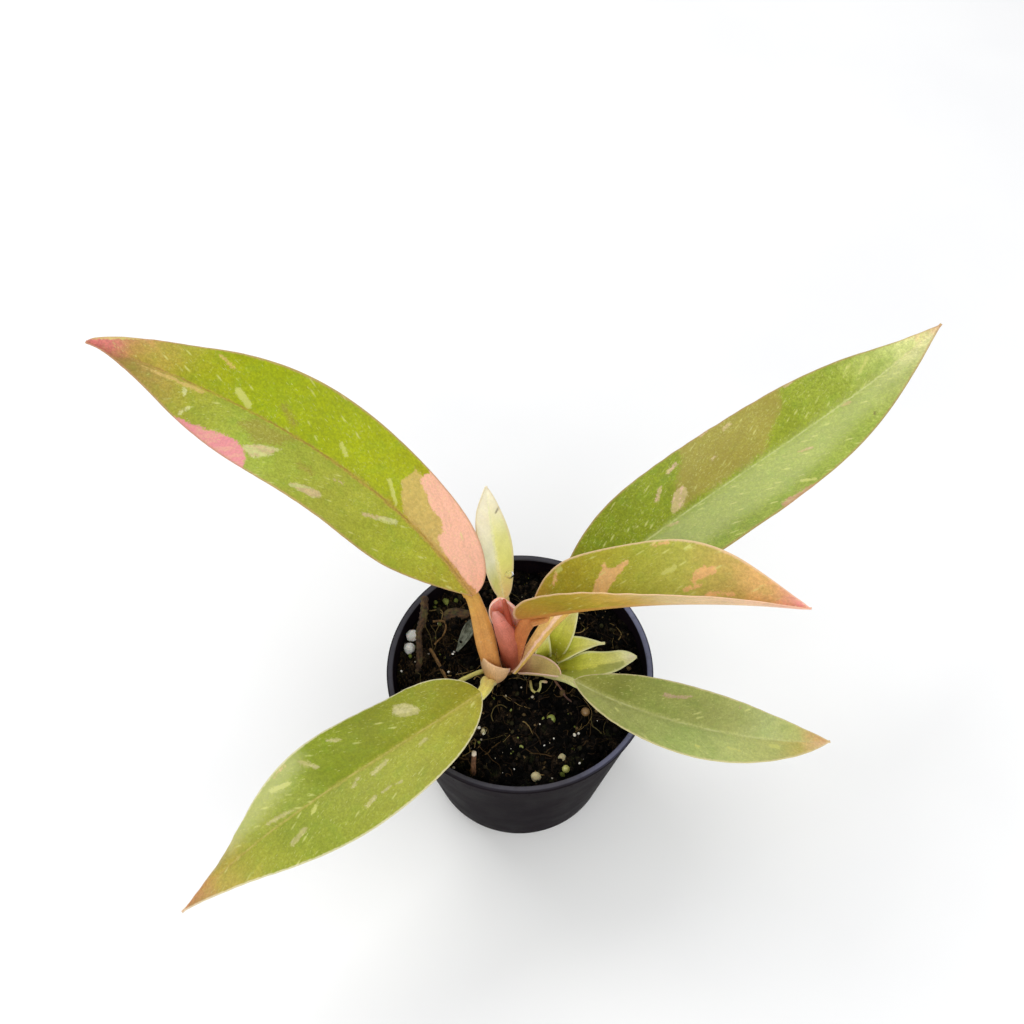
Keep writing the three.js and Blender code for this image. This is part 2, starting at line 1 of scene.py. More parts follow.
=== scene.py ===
"""The looks of a young variegated philodendron in a small round nursery pot.

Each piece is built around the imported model, in its frame. The tables hold millimetres, and a finished mesh
metres.
"""
import itertools
import math

import bmesh
import bpy
import numpy as np
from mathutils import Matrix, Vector


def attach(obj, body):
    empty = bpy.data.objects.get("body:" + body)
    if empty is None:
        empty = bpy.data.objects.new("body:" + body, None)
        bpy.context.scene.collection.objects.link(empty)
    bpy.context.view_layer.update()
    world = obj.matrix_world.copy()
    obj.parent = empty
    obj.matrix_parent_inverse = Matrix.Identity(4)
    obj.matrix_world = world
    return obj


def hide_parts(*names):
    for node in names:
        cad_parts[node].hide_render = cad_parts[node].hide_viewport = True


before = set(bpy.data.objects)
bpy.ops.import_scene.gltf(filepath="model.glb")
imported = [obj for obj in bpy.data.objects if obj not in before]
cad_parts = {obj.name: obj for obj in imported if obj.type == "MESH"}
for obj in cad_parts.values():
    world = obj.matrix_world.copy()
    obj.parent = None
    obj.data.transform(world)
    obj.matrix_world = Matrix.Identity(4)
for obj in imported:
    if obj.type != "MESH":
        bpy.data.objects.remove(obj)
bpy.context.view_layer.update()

MM = 0.001
BODY = "root"

# The camera looks along +Y and down
CAMERA_PLACE = (-1.8, -139.1, 305.7)
CAMERA_ELEVATION = 55.05
CAMERA_LENS, CAMERA_SENSOR = 45.7, 36

# Pot and soil
POT_HEIGHT, POT_TOP_RADIUS, POT_BASE_RADIUS, POT_WALL = 46, 30, 21.5, 1.1
LIP_WIDTH, LIP_HEIGHT, LIP_STEP = 1.35, 1.6, 0.4
DRAIN_HOLES, DRAIN_RADIUS, DRAIN_CIRCLE = 6, 2.5, 14
SOIL_LEVEL, SOIL_RELIEF = 41.8, 0.4
STEM = {"route": [(-2.6, 1.6, 30), (-2.5, 1.8, 38), (-2.4, 2, 45)], "width": (3.2, 4.6)}
MOUND_HEIGHT, MOUND_RADIUS = 0.4, 11
FLOOR_MIDDLE, DRAIN_SIDES = 4, 40
SOIL_GRID, SOIL_INSET = 280, 0.05
BED_REACH = 34
CRUMB_SINK = 0.6

# Blades: thickness at the edge and more of it at the midrib, and how a half may bend
BLADE_EDGE, BLADE_RIB, THIN_RIM = 0.45, 0.7, 0.55
LEAST_HALF_WIDTH = 0.25
LOBE_SHARPNESS = 8
NO_CURL = 0.01
LEVEL_FACE = (0, 0, 1)
LEAF_MESH = (230, 64)
SHEATH_FORM = (60, 40, 0.4, 0.4, 0.5)

# Relief of a blade, in mm: a groove over the midrib, quilting along the side veins, and a frayed edge
GROOVE_DEPTH, GROOVE_WIDTH = 0.25, 0.7
QUILT_DEPTH, QUILT_SPACING = 0.02, 3.4
FRAY_DEPTH, FRAY_REACH = 0.12, 1.2
VEIN_SLANT, VEIN_BEND = 1.3, 0.03

# Stalks, the ribs that they run on as, and the rounding of their ends as (share of the radius, push outwards)
STALK_BEND, STALK_GROOVE = 0.4, 0.3
RIB_START, RIB_END, RIB_STEPS = 0.005, 0.3, 24
RIB_NARROWING = 2.4
RIB_SINK = (0.14, 0.36)
END_ROUNDING = ((0.85, 0.3), (0.5, 0.6))
STICK_FACE = (0.3, 0.9, 0.2)
STEM_MESH, STEM_RINGS = (60, 36, 0.05), 7

# Fields of the markings, in mm: a point far from all of them, and how far past the leaf an outer corner lies
NO_MARK, FAR, TINY = 9.0, 1e6, 1e-9
PAST_EDGE, BEFORE_BASE = 20, 90


def half(width, base, tip, fold, wave=0, phase=0, lobe=0):
    """One side of a blade: its widest, its narrowing to base and tip, fold in degrees, waves and lobe."""
    return {
        "width": width, "base": base, "tip": tip, "fold": fold, "wave": wave, "phase": phase, "lobe": lobe,
    }


# Places on a blade are (share of the length, share of the half's width), where the left half is negative. A
# patch has such corners, and a streak a half width in mm and its two ends. Looks are those of the stalk and
# of the sheath.
LEAVES = {
    "upper_left": {
        "looks": ("golden stalk", "pink beige sheath"),
        "midrib": [(-10.5, 10, 60), (-28, 27, 83), (-60, 38, 96), (-92, 48, 101)],
        "roll": (11, 5), "curl": -6, "waves": 1.6,
        "left": half(14.5, 0.9, 1.24, (12, 14), -4.2, 0.1),
        "right": half(12.5, 0.46, 0.7, (30, 23), 1.9, 0.35),
        "stalk": {
            "foot": (-5.8, -0.5, 44.6), "rise": (-0.2, 0, 1), "face": (0.3, -0.8, 0.4),
            "width": (4, 3.2), "depth": (2.8, 2), "swell": 0.5,
        },
        "patches": {
            "pink": [
                [(0.575, -1.1), (0.584, -0.86), (0.596, -0.72), (0.62, -0.65), (0.655, -0.66), (0.69, -0.76),
                 (0.72, -0.85), (0.765, -0.98), (0.77, -1.1)],
                [(-0.02, 1.2), (-0.02, 0.5), (0.012, 0.35), (0.03, 0.16), (0.06, 0.09), (0.12, 0.08),
                 (0.15, 0.2), (0.155, 0.35), (0.17, 0.5), (0.21, 0.5), (0.23, 0.6), (0.265, 0.72),
                 (0.262, 0.9), (0.25, 1.2)],
            ],
            "cream": [
                [(0.534, -0.35), (0.544, -0.52), (0.564, -0.69), (0.58, -0.77), (0.608, -0.67),
                 (0.596, -0.59), (0.568, -0.44)],
                [(0.406, -0.67), (0.424, -0.79), (0.476, -0.83), (0.48, -0.77), (0.448, -0.65),
                 (0.416, -0.6)],
            ],
            "accent": [
                [(0.73, -0.06), (0.735, -0.15), (0.78, -0.19), (0.83, -0.24), (0.88, -0.18), (0.83, -0.12),
                 (0.78, -0.07)],
                [(0.1, 0.02), (0.24, 0.02), (0.265, 0.2), (0.292, 0.45), (0.285, 0.8), (0.2, 0.9)],
            ],
            "olive": [[(0.52, -0.05), (0.545, -0.3), (0.59, -0.5), (0.64, -0.35), (0.61, -0.05)]],
            "lime": [[(0.87, 1.1), (0.9, 0.92), (0.95, 0.8), (0.99, 0.7), (0.99, 1.2)]],
        },
        "streaks": {
            "cream": [
                (0.5, 0.245, -0.19, 0.312, -0.46), (0.3, 0.385, -0.23, 0.407, -0.27),
                (0.3, 0.745, -0.62, 0.757, -0.83), (0.3, 0.765, -0.4, 0.77, -0.27),
            ],
            "olive": [(0.7, 0.457, -0.4, 0.48, -0.42), (0.6, 0.54, 0.18, 0.575, 0.35)],
            "lime": [
                (0.4, 0.268, 0.08, 0.312, 0.33), (0.4, 0.414, 0.2, 0.436, 0.32), (0.8, 0.64, 0.1, 0.67, 0.25),
            ],
            "accent": [(0.25, 0.7, 0.68, 0.737, 0.86)],
        },
    },
    "folded_right": {
        "looks": ("orange stalk", "pink beige sheath"),
        "midrib": [(2.2, 1.8, 64.6), (17, -4.3, 81.1), (35, -9.1, 91.4), (54.5, -14, 95)],
        "roll": (-7, 3), "curl": 0, "waves": 1.6, "edge": 0.3, "rib": 0.2,
        "left": half(13, 0.72, 0.98, (37, 30), 1.6, 0.14),
        "right": half(12.7, 0.64, 1.13, (77, 58), 0.4, -0.06, 4),
        "stalk": {
            "foot": (-1.6, 1, 45.6), "rise": (0.16, 0, 1), "face": (-0.4, -0.8, 0.3),
            "width": (3, 3.4), "depth": (2, 1.6), "rib": 0.06,
        },
        "patches": {
            "accent": [
                [(0.256, -0.03), (0.275, -0.29), (0.292, -0.46), (0.312, -0.63), (0.316, -0.74),
                 (0.33, -0.74), (0.332, -0.63), (0.364, -0.63), (0.404, -0.73), (0.412, -0.69), (0.376, -0.5),
                 (0.336, -0.3), (0.31, -0.03)],
                [(0.62, -0.35), (0.632, -0.5), (0.664, -0.63), (0.708, -0.69), (0.704, -0.58), (0.664, -0.43),
                 (0.632, -0.35)],
            ],
        },
        "streaks": {
            "accent": [
                (0.35, 0.13, -0.74, 0.15, -0.86), (0.3, 0.6, -0.2, 0.655, -0.3),
                (0.4, 0.68, -0.13, 0.76, -0.2), (0.3, 0.5, -0.92, 0.55, -0.96),
            ],
            "lime": [
                (0.4, 0.15, -0.87, 0.17, -0.89), (0.5, 0.532, -0.47, 0.57, -0.56),
                (0.3, 0.61, -0.86, 0.632, -0.9),
            ],
        },
    },
    "upper_right": {
        "looks": ("yellow stalk", "pink beige sheath"),
        "midrib": [(9, 8, 58), (36, 25.5, 75), (68, 37.5, 86.5), (94, 61.5, 92)],
        "roll": (1, 2), "curl": -10, "waves": 1.6,
        "left": half(13.7, 0.65, 1.02, (14, 15), 1.3, 0.07),
        "right": half(14.4, 0.77, 1.13, (15, 13), 1.5, 0.59),
        "stalk": {
            "foot": (-1.4, -0.4, 44.4), "rise": (0.6, 0.35, 1), "face": (-0.5, -0.6, 0.6),
            "width": (1.6, 4.2), "depth": (1.4, 1.8),
        },
        "patches": {
            "olive": [
                [(0.4, -1.1), (0.38, -0.8), (0.34, -0.5), (0.305, -0.12), (0.4, -0.06), (0.53, -0.1),
                 (0.576, -0.41), (0.616, -0.67), (0.68, -1.1)],
            ],
            "cream": [
                [(0.298, -0.1), (0.304, -0.22), (0.324, -0.38), (0.35, -0.41), (0.348, -0.25), (0.32, -0.1)],
            ],
            "pink": [[(0.478, 1.1), (0.478, 0.9), (0.52, 0.92), (0.56, 1), (0.56, 1.1)]],
            # Where a painted sheen lies: a pale haze where the blade catches the light
            "painted_sheen": [
                [(0.22, 0.05), (0.3, 0.7), (0.5, 0.75), (0.75, 0.6), (0.95, 0.5), (0.9, 0.02), (0.5, 0.0)],
            ],
        },
        "streaks": {
            "cream": [
                (0.45, 0.34, -0.74, 0.365, -0.79), (0.4, 0.285, -0.45, 0.308, -0.6),
                (0.3, 0.428, -0.48, 0.437, -0.5), (0.35, 0.488, -0.85, 0.504, -0.88),
                (0.35, 0.44, -0.97, 0.46, -1), (0.4, 0.645, -0.98, 0.66, -1),
                (0.35, 0.278, 0.03, 0.295, 0.06), (0.3, 0.578, 0.32, 0.602, 0.4),
                (0.3, 0.712, 0.05, 0.728, 0.07),
            ],
            "lime": [
                (0.2, 0.755, -0.55, 0.785, -0.8), (0.24, 0.785, -0.42, 0.825, -0.78),
                (0.3, 0.54, 0.8, 0.56, 0.92),
            ],
            "accent": [(0.2, 0.745, 0.74, 0.748, 0.75)],
        },
    },
    "pale_upright": {
        "looks": ("cream stalk", "pink beige sheath"),
        "rib": 0.4, "relief": 0.4, "mesh": (120, 40),
        "midrib": [(-3.6, 12, 55.5), (-5.2, 18, 63), (-6.8, 24, 70.5), (-7.4, 25.6, 79.5)],
        "roll": (-9, 0), "curl": 9, "waves": 1.1,
        "left": half(4.3, 0.6, 0.72, (20, 20), 1.6),
        "right": half(3.7, 0.5, 0.78, (20, 20), -0.9, 0.16),
        "stalk": {
            "foot": (-2.8, 4.4, 42), "rise": (-0.1, 0.2, 1), "face": (0, -1, 0.3),
            "width": (2.6, 2.8), "depth": (1.8, 1.4),
        },
        "streaks": {
            "accent": [(0.16, 0.735, 0.5, 0.79, 1)],
        },
    },
    "lower_left": {
        "looks": ("lime stalk", "pink beige sheath"),
        "midrib": [(-8.5, -10.7, 54.3), (-28.5, -27, 57), (-52, -38.4, 52.4), (-69.7, -53.4, 39.5)],
        "roll": (1, -6), "curl": -9, "waves": 1.5,
        "left": half(12.9, 0.72, 1.11, (7, 7), 1.2, -0.09),
        "right": half(11.9, 0.53, 1.18, (9, 7), 2.7, 0.41),
        "stalk": {
            "foot": (-6.9, -3, 44.8), "rise": (-0.2, -0.7, 1), "face": (0, -0.2, 1),
            "width": (3.6, 2.4), "depth": (2, 2),
        },
        "sheath": {
            "midrib": [(-5.8, -2.2, 43.4), (-6.1, -3.4, 45.1), (-6.3, -3, 47.4), (-6.1, -1.5, 49.9)],
            "face": (0.35, 1, 0.1), "curl": 80, "slant": -1.5,
            "left": half(4.4, 0.16, 0, (4, 0)), "right": half(5.4, 0.16, 0, (4, 0)),
        },
        "patches": {
            "cream": [
                [(0.168, 0.42), (0.178, 0.33), (0.2, 0.37), (0.228, 0.46), (0.24, 0.6), (0.222, 0.75),
                 (0.195, 0.7), (0.18, 0.55)],
                [(0.595, 0.07), (0.64, 0.1), (0.685, 0.2), (0.688, 0.27), (0.645, 0.22), (0.615, 0.15)],
            ],
            # Where a painted sheen lies: a pale haze where the blade catches the light
            "painted_sheen": [[(0.5, 1.2), (0.52, 0.75), (0.6, 0.6), (0.7, 0.5), (0.8, 0.6), (0.82, 1.2)]],
        },
        "streaks": {
            "cream": [
                (0.45, 0.325, -0.15, 0.375, -0.2), (0.3, 0.323, -0.6, 0.335, -0.6),
                (0.3, 0.355, -0.56, 0.38, -0.58), (0.5, 0.403, -0.57, 0.43, -0.62),
                (0.5, 0.602, -0.4, 0.648, -0.53), (0.35, 0.41, -0.12, 0.437, -0.2),
                (0.3, 0.205, -0.21, 0.227, -0.25), (0.4, 0.49, 0.5, 0.52, 0.78),
                (0.35, 0.402, 0.68, 0.43, 0.8),
            ],
            "lime": [(0.5, 0.545, -0.12, 0.56, -0.2), (0.45, 0.575, 0.6, 0.625, 0.77)],
            "accent": [(0.1, 0.56, 0.93, 0.6, 0.95)],
        },
    },
    "lower_right": {
        "looks": ("thin pale stalk", "olive beige sheath"),
        "midrib": [(11.5, -8, 54.5), (28, -21, 60), (47.5, -25.5, 60.3), (65.4, -21.5, 52.8)],
        "roll": (-1, -5), "curl": -5, "waves": 2,
        "left": half(8.4, 0.63, 0.91, (9, 9)),
        "right": half(7, 0.85, 0.98, (9, 8), -0.3, 0.17),
        "stalk": {
            "foot": (5.8, -1.6, 45.4), "rise": (0.6, -0.5, 0.6), "face": LEVEL_FACE,
            "width": (1.8, 1.7), "depth": (1.4, 1.5),
        },
        "sheath": {
            "midrib": [(-0.2, 0.6, 43.2), (2.4, 0.3, 44.4), (5.6, -1.6, 46.2), (8.8, -4.8, 50.6)],
            "curl": 60,
            "left": half(3.8, 0.35, 0.5, (14, 14)), "right": half(3.1, 0.35, 0.5, (14, 14)),
        },
        "patches": {
            "cream": [
                [(0.32, -0.53), (0.328, -0.64), (0.376, -0.66), (0.424, -0.74), (0.436, -0.74),
                 (0.416, -0.64), (0.36, -0.54)],
            ],
        },
        "streaks": {
            "lime": [
                (0.3, 0.6, 0.5, 0.635, 0.58), (0.5, 0.75, 0.3, 0.78, 0.38), (0.3, 0.485, 0.64, 0.495, 0.66),
            ],
            "cream": [(0.2, 0.629, -0.8, 0.631, -0.8)],
        },
    },
}

CROWN_SHEATHS = {
    "spear_front": {
        "midrib": [(-2, 0.2, 44.9), (-0.9, -0.2, 51), (-3.7, 1.1, 57.3), (-5.6, 3.4, 64.4)],
        "face": (0, 1, 0), "curl": 75,
        "left": half(4.1, 0.16, 0.55, (10, 5)), "right": half(4.1, 0.16, 0.6, (10, 5)),
    },
    "spear_back": {
        "midrib": [(-2.6, 3.6, 44.6), (-2.2, 5, 52), (-3.2, 6, 59), (-4.4, 5.9, 65.6)],
        "face": (0, -1, 0), "curl": 70,
        "left": half(3.6, 0.9, 0.22, (8, 0)), "right": half(6.4, 1.3, 0.6, (8, 0)),
    },
}

OFFSET_STEM = {"route": [(6.8, 3.2, 34), (6.9, 3.1, 40), (7.2, 2.9, 43.9)], "width": (2.2, 3)}
OFFSET_LEAVES = {
    "offset_leaf_upright": {
        "midrib": [(7.3, 4.4, 43.6), (8.6, 5.4, 49), (10.1, 6.8, 55), (12, 8.6, 61)],
        "face": (-0.2, -0.6, 0.7), "curl": 14,
        "left": half(3.2, 0.35, 0.55, (14, 8)), "right": half(3.2, 0.35, 0.55, (14, 8)),
    },
    "offset_leaf_small": {
        "midrib": [(6.3, 3, 43.4), (5.7, 3.3, 46.2), (5.6, 3.9, 49.4), (6.3, 4.6, 52)],
        "face": (0.1, -0.9, 0.4), "curl": 20,
        "left": half(2.7, 0.45, 1, (8, 5)), "right": half(1.2, 0.5, 0.8, (8, 5)),
    },
    "offset_leaf_pointed": {
        "midrib": [(8.3, 3.1, 44.2), (10.4, 3.2, 48), (14.2, 3.4, 50), (18.9, 3.1, 51.2)],
        "curl": 8,
        "left": half(3.2, 0.5, 1.2, (16, 12)), "right": half(2.5, 0.5, 1.4, (16, 12)),
    },
    "offset_leaf_wavy": {
        "midrib": [(7.9, 1, 43.2), (12.4, -1.4, 46.2), (19, 0, 48.4), (26.2, 1.4, 48)],
        "curl": 6, "waves": 2.1,
        "left": half(3.1, 0.5, 0.62, (16, 12), 0.5, 0.3), "right": half(3.8, 0.5, 0.75, (10, 6), 0.4, 0.1),
        # The olive patch here marks painted shade: the lower half of this leaf is turned away from the light.
        "patches": {
            "olive": [[(-0.02, 0.12), (0.3, 0.16), (0.6, 0.12), (0.85, 0.3), (0.85, 1.2), (-0.02, 1.2)]],
        },
    },
}

STICKS = {
    "spear_inner": {
        "route": [(-2, 2.2, 46.4), (-2, 2.8, 54), (-2.5, 3.6, 60), (-3.5, 4.3, 67.4)], "width": (2.6, 1),
    },
    "old_stalk": {
        "route": [(-4.2, 0.9, 43.9), (-9, -0.8, 44.8), (-13, -2.8, 44.9), (-17.6, -5.2, 43.6)],
        "width": (1.1, 1),
    },
    "root_hook": {
        "route": [
            (2.3, -2.4, 43.5), (2.7, -4.4, 43.3), (3.7, -5.1, 43.2), (4.5, -4.2, 43.4), (4.7, -2.7, 43.8),
            (6, -2.6, 43.5),
        ],
        "width": (0.6, 0.6),
    },
    "root_pink": {
        "route": [(7.9, -2.3, 43.5), (9.3, -4.4, 43.4), (10.2, -6, 43.1), (11.5, -7.2, 42.8)],
        "width": (0.5, 0.35),
    },
    "old_stem": {
        "route": [(-23.6, -0.4, 40), (-22.9, 3.6, 43.6), (-23, 8, 46.9), (-21.9, 11.4, 49.4),
                  (-21.7, 14.6, 51.6)],
        "width": (1.1, 1.6),
    },
    "cut_twig": {
        "route": [(-10.3, -23.8, 39.4), (-10.2, -23.6, 43.4), (-9.9, -22.2, 48.8)], "width": (1.4, 1),
    },
    "strand_long": {
        "route": [(-20.6, 6.4, 42.4), (-18.6, 2.6, 42.8), (-16.6, -1.6, 42.6), (-15, -5.6, 42.2)],
        "width": (0.8, 0.7),
    },
    "strand_loop": {
        "route": [(-20.6, 13.6, 42.6), (-17.6, 13.4, 43), (-17.4, 10.6, 42.8), (-19.6, 7.6, 42.6)],
        "width": (0.5, 0.4),
    },
}

SCRAPS = {
    "scrap_leaf": {
        "midrib": [(-10.6, 13.4, 43.8), (-12, 10.6, 43.4), (-13.2, 8, 43.2), (-14.4, 5.6, 43)],
        "roll": (20, 10), "curl": 20, "waves": 1,
        "left": half(1.3, 0.4, 0.8, (5, 5), 0.3), "right": half(1.3, 0.4, 0.8, (5, 5), 0.3),
    },
    "scrap_bark": {
        "midrib": [(-18.2, 14.8, 42.6), (-16, 15.4, 43.2), (-13.6, 15.8, 43.2), (-11.4, 16, 42.8)],
        "roll": (-8, 4), "curl": -30, "waves": 1,
        "left": half(1.8, 0.4, 0.5, (0, 0), 0.3), "right": half(1.8, 0.4, 0.5, (0, 0), 0.3),
    },
}

# Loose grains on the soil: place, radius, and height as a share of the width
GRAINS = {
    "perlite_left": (-24.9, 9.8, 1.4, 1),
    "perlite_left_low": (-25.4, 6.6, 1.3, 1),
    "perlite_front": (3.4, -25, 1.1, 0.9),
    "perlite_tall": (9.1, -20.4, 0.8, 1.4),
    "perlite_pair": (-8.2, -14, 0.85, 0.8),
    "prill_green": (6.9, -11.3, 1, 1),
    "prill_tan": (14.6, -9.4, 1, 0.9),
    "prill_yellow": (9.9, -23.2, 0.85, 1),
}

SOIL_RIM = 27.8
SOIL_DROP = 1.35

# Small things on the soil: x, y, size and tint, where 0 is the darkest and 1 the palest
SPECKS = [
    (-9.1, -13.6, 0.7, 0.9), (-8.1, -14.7, 0.6, 0.5), (-8.6, -16.2, 0.6, 0.3), (12.9, -21.9, 0.6, 1),
    (13.7, -20.7, 0.6, 1), (5.3, -17.1, 0.5, 1), (-1.3, -22.9, 0.5, 1), (2.8, -6, 0.8, 0.3),
    (-3.2, -5.6, 0.7, 0.3), (-14.6, -22.2, 0.7, 0.3), (-15.4, 5, 0.6, 1), (-15.1, 5.6, 0.6, 1),
    (-16.2, 0.5, 0.6, 0.9), (-27, 0.7, 0.5, 1), (-13.9, 7.4, 0.4, 1), (-22.6, 6.1, 0.4, 0.9),
    (12, -14.9, 0.9, 0.6), (12.9, -14.6, 0.8, 0.7),
]
MOSS = [
    (5.1, -11.4, 0.8, 0.6), (9.2, -24.2, 1.2, 0.1), (-19.8, 19.2, 1, 0.5), (-15, 19.7, 1.4, 0.4),
    (-17.4, 19.6, 1.8, 0.6), (-24, 7.6, 1, 0.3), (-25.2, 4.9, 1, 0.4), (-23.6, 8.9, 0.8, 0.5),
    (-12.4, 12.4, 1.2, 0.3), (-10, 9.4, 1, 0.4),
]
FIBRES = [
    ([(-21.3, 17, 0.2), (-18.4, 16.4, 0.8), (-18.2, 14.3, 1), (-19.6, 11, 0.4)], 0.16, 0.9),
    ([(-22.9, 13.8, 0.3), (-21.8, 12, 0.8), (-20.8, 10.1, 0.5), (-19.9, 5.8, 0.2)], 0.14, 0.8),
    ([(2.3, -0.9, 0.6), (1.6, -3, 0.8), (1.5, -5.1, 0.2)], 0.15, 0.6),
    ([(7, -1.4, 0.6), (8.2, -2.6, 0.7), (7.6, -4.4, 0.2)], 0.14, 0.9),
]

DROPLET = {"at": (-2.4, 15.6, 60), "up": (0.2, -0.8, 0.55), "radius": 1}

# Lamps: place in mm, size in mm, and power
LAMPS = {
    "key": ((-350, 420, 700), 500, 3.2),
    "fill": ((500, -300, 500), 600, 1.0),
    "front": ((-80, -520, 420), 500, 1.5),
}
LAMP_AIM = (0, 0, 60)
WORLD_STRENGTH = 0.66
FLOOR_SIZE = 6


def mix(a, b, t):
    return a + (b - a) * t


def unit(v):
    v = np.asarray(v, float)
    return v / np.linalg.norm(v, axis=-1, keepdims=True)


def smooth(low, high, value):
    t = np.clip((value - low) / (high - low), 0, 1)
    return t * t * (3 - 2 * t)


def ripple(points, size, seed, waves=6):
    """Seeded unevenness from -1 to 1, in waves about size mm long."""
    random = np.random.default_rng(seed)
    total = 0
    for _ in range(waves):
        way = unit(random.normal(size=3)) * random.uniform(0.6, 1.7) / size
        total = total + np.sin(2 * math.pi * (points @ way + random.uniform()))
    return total / waves


def bezier(corners, t):
    """Points of a cubic curve, and its direction at each."""
    a, b, c, d = np.asarray(corners, float)
    t = np.asarray(t, float)[:, None]
    r = 1 - t
    place = r**3 * a + 3 * r**2 * t * b + 3 * r * t**2 * c + t**3 * d
    return place, unit(r**2 * (b - a) + 2 * r * t * (c - b) + t**2 * (d - c))


def through(route, t):
    """Points of a smooth curve through a route, and its direction at each."""
    route = np.asarray(route, float)
    ends = [2 * route[0] - route[1], *route, 2 * route[-1] - route[-2]]
    spans = len(route) - 1
    at = np.clip(np.asarray(t, float) * spans, 0, spans - 1e-9)
    first = at.astype(int)
    x = (at - first)[:, None]
    a, b, c, d = (np.array(ends)[first + k] for k in range(4))
    place = b + 0.5 * x * (c - a + x * (2 * a - 5 * b + 4 * c - d + x * (3 * (b - c) + d - a)))
    along = 0.5 * (c - a + 2 * x * (2 * a - 5 * b + 4 * c - d) + 3 * x**2 * (3 * (b - c) + d - a))
    return place, unit(along)


def across(along, face, roll):
    """Directions to the right of a curve and out of its upper face, turned by roll degrees about it."""
    side = unit(np.cross(along, np.broadcast_to(face, along.shape)))
    up = np.cross(side, along)
    turn = np.radians(roll)
    c, s = np.cos(turn)[..., None], np.sin(turn)[..., None]
    return side * c + up * s, up * c - side * s


def outline(s, side):
    """Half the width of a blade along its length, as a share of the widest."""
    base, tip = side["base"], side["tip"]
    peak = base / (base + tip)
    return (s / peak) ** base * ((1 - s) / max(1 - peak, TINY)) ** tip


def half_widths(blade, s, u):
    """The width in mm of the half that each column u lies in, for each row s."""
    sides = [blade["left"], blade["right"]]
    left, right = (np.maximum(LEAST_HALF_WIDTH, side["width"] * outline(s, side)) for side in sides)
    return np.where(u[None, :] < 0, left[:, None], right[:, None])


def blade_surface(blade, s, u):
    """Points of a blade's upper face: a row for each s from base to tip, a column for each u across it."""
    midrib, along = bezier(blade["midrib"], s)
    side, up = across(along, blade.get("face", LEVEL_FACE), mix(*blade.get("roll", (0, 0)), s))
    width = half_widths(blade, s, u)
    reach, s, u = np.abs(u)[None, :], s[:, None], u[None, :]
    left, right = blade["left"], blade["right"]

    def of(name):
        return np.where(u >= 0, right[name], left[name])

    fold = np.radians(np.where(u >= 0, mix(*right["fold"], s), mix(*left["fold"], s)))
    curl = math.radians(blade.get("curl", 0) or NO_CURL)
    out = (np.sin(fold + curl * reach) - np.sin(fold)) / curl
    rise = (np.cos(fold) - np.cos(fold + curl * reach)) / curl
    turns = blade.get("waves", 0) * s + of("phase")
    lift = of("wave") * reach**2 * np.sin(2 * math.pi * turns) * np.minimum(1, 6 * s * (1 - s))
    back = of("lobe") * reach * (1 - s) ** LOBE_SHARPNESS + blade.get("slant", 0) * u * s**2
    return (
        midrib[:, None]
        - along[:, None] * back[..., None]
        + side[:, None] * (np.sign(u) * out * width)[..., None]
        + up[:, None] * (rise * width + lift)[..., None]
    )


def grid_normals(points):
    return unit(np.cross(np.gradient(points, axis=1), np.gradient(points, axis=0)))


def flat_place(blade, s, u):
    """Where points lie with the blade laid flat: mm along the midrib, mm across it, and mm to the edge."""
    fine = np.linspace(0, 1, 400)
    midrib, _ = bezier(blade["midrib"], fine)
    steps = np.linalg.norm(np.diff(midrib, axis=0), axis=1)
    along = np.interp(s, fine, np.concatenate([[0], np.cumsum(steps)]))
    width = half_widths(blade, np.clip(s, 0, 1), u)
    return np.broadcast_to(along[:, None], width.shape), u[None, :] * width, (1 - np.abs(u))[None, :] * width


def vein_line(along, away):
    """Where on the midrib the side vein starts that passes a point."""
    return along - away * VEIN_SLANT - away * away * VEIN_BEND


def patch_distance(x, y, corners, radius):
    """Signed distance in mm from points to a patch, or to a streak of that half width: negative inside."""
    nearest = np.full(x.shape, FAR)
    inside = np.zeros(x.shape, bool)
    is_patch = len(corners) > 2
    for (ax, ay), (bx, by) in zip(corners, corners[1:] + corners[:1] if is_patch else corners[1:]):
        dx, dy = bx - ax, by - ay
        t = np.clip(((x - ax) * dx + (y - ay) * dy) / (dx * dx + dy * dy + TINY), 0, 1)
        nearest = np.minimum(nearest, np.hypot(x - ax - t * dx, y - ay - t * dy))
        if is_patch:
            inside ^= ((ay > y) != (by > y)) & (x < ax + (y - ay) * dx / (dy if abs(dy) > TINY else TINY))
    return np.where(inside, -nearest, nearest) - radius


# The last kind marks a painted sheen, a pale haze where a blade catches the light.
MARK_KINDS = ("cream", "pink", "olive", "lime", "accent", "painted_sheen")


def mark_fields(blade, along, sideways):
    """For each kind of marking, how far in mm each point of a blade lies outside it."""
    fields = {kind: np.full(along.shape, NO_MARK) for kind in MARK_KINDS}
    marks = [(kind, 0, corners) for kind, patches in blade.get("patches", {}).items() for corners in patches]
    for kind, streaks in blade.get("streaks", {}).items():
        marks += [(kind, radius, [ends[:2], ends[2:]]) for radius, *ends in streaks]
    for kind, radius, corners in marks:
        flat = []
        for s, u in corners:
            a, b, _ = flat_place(blade, np.array([s]), np.array([u]))
            beyond = math.copysign(PAST_EDGE, u) if abs(u) > 1.05 else float(b[0, 0])
            flat.append((float(a[0, 0]) + min(0, s) * BEFORE_BASE, beyond))
        fields[kind] = np.minimum(fields[kind], patch_distance(along, sideways, flat, radius))
    return fields


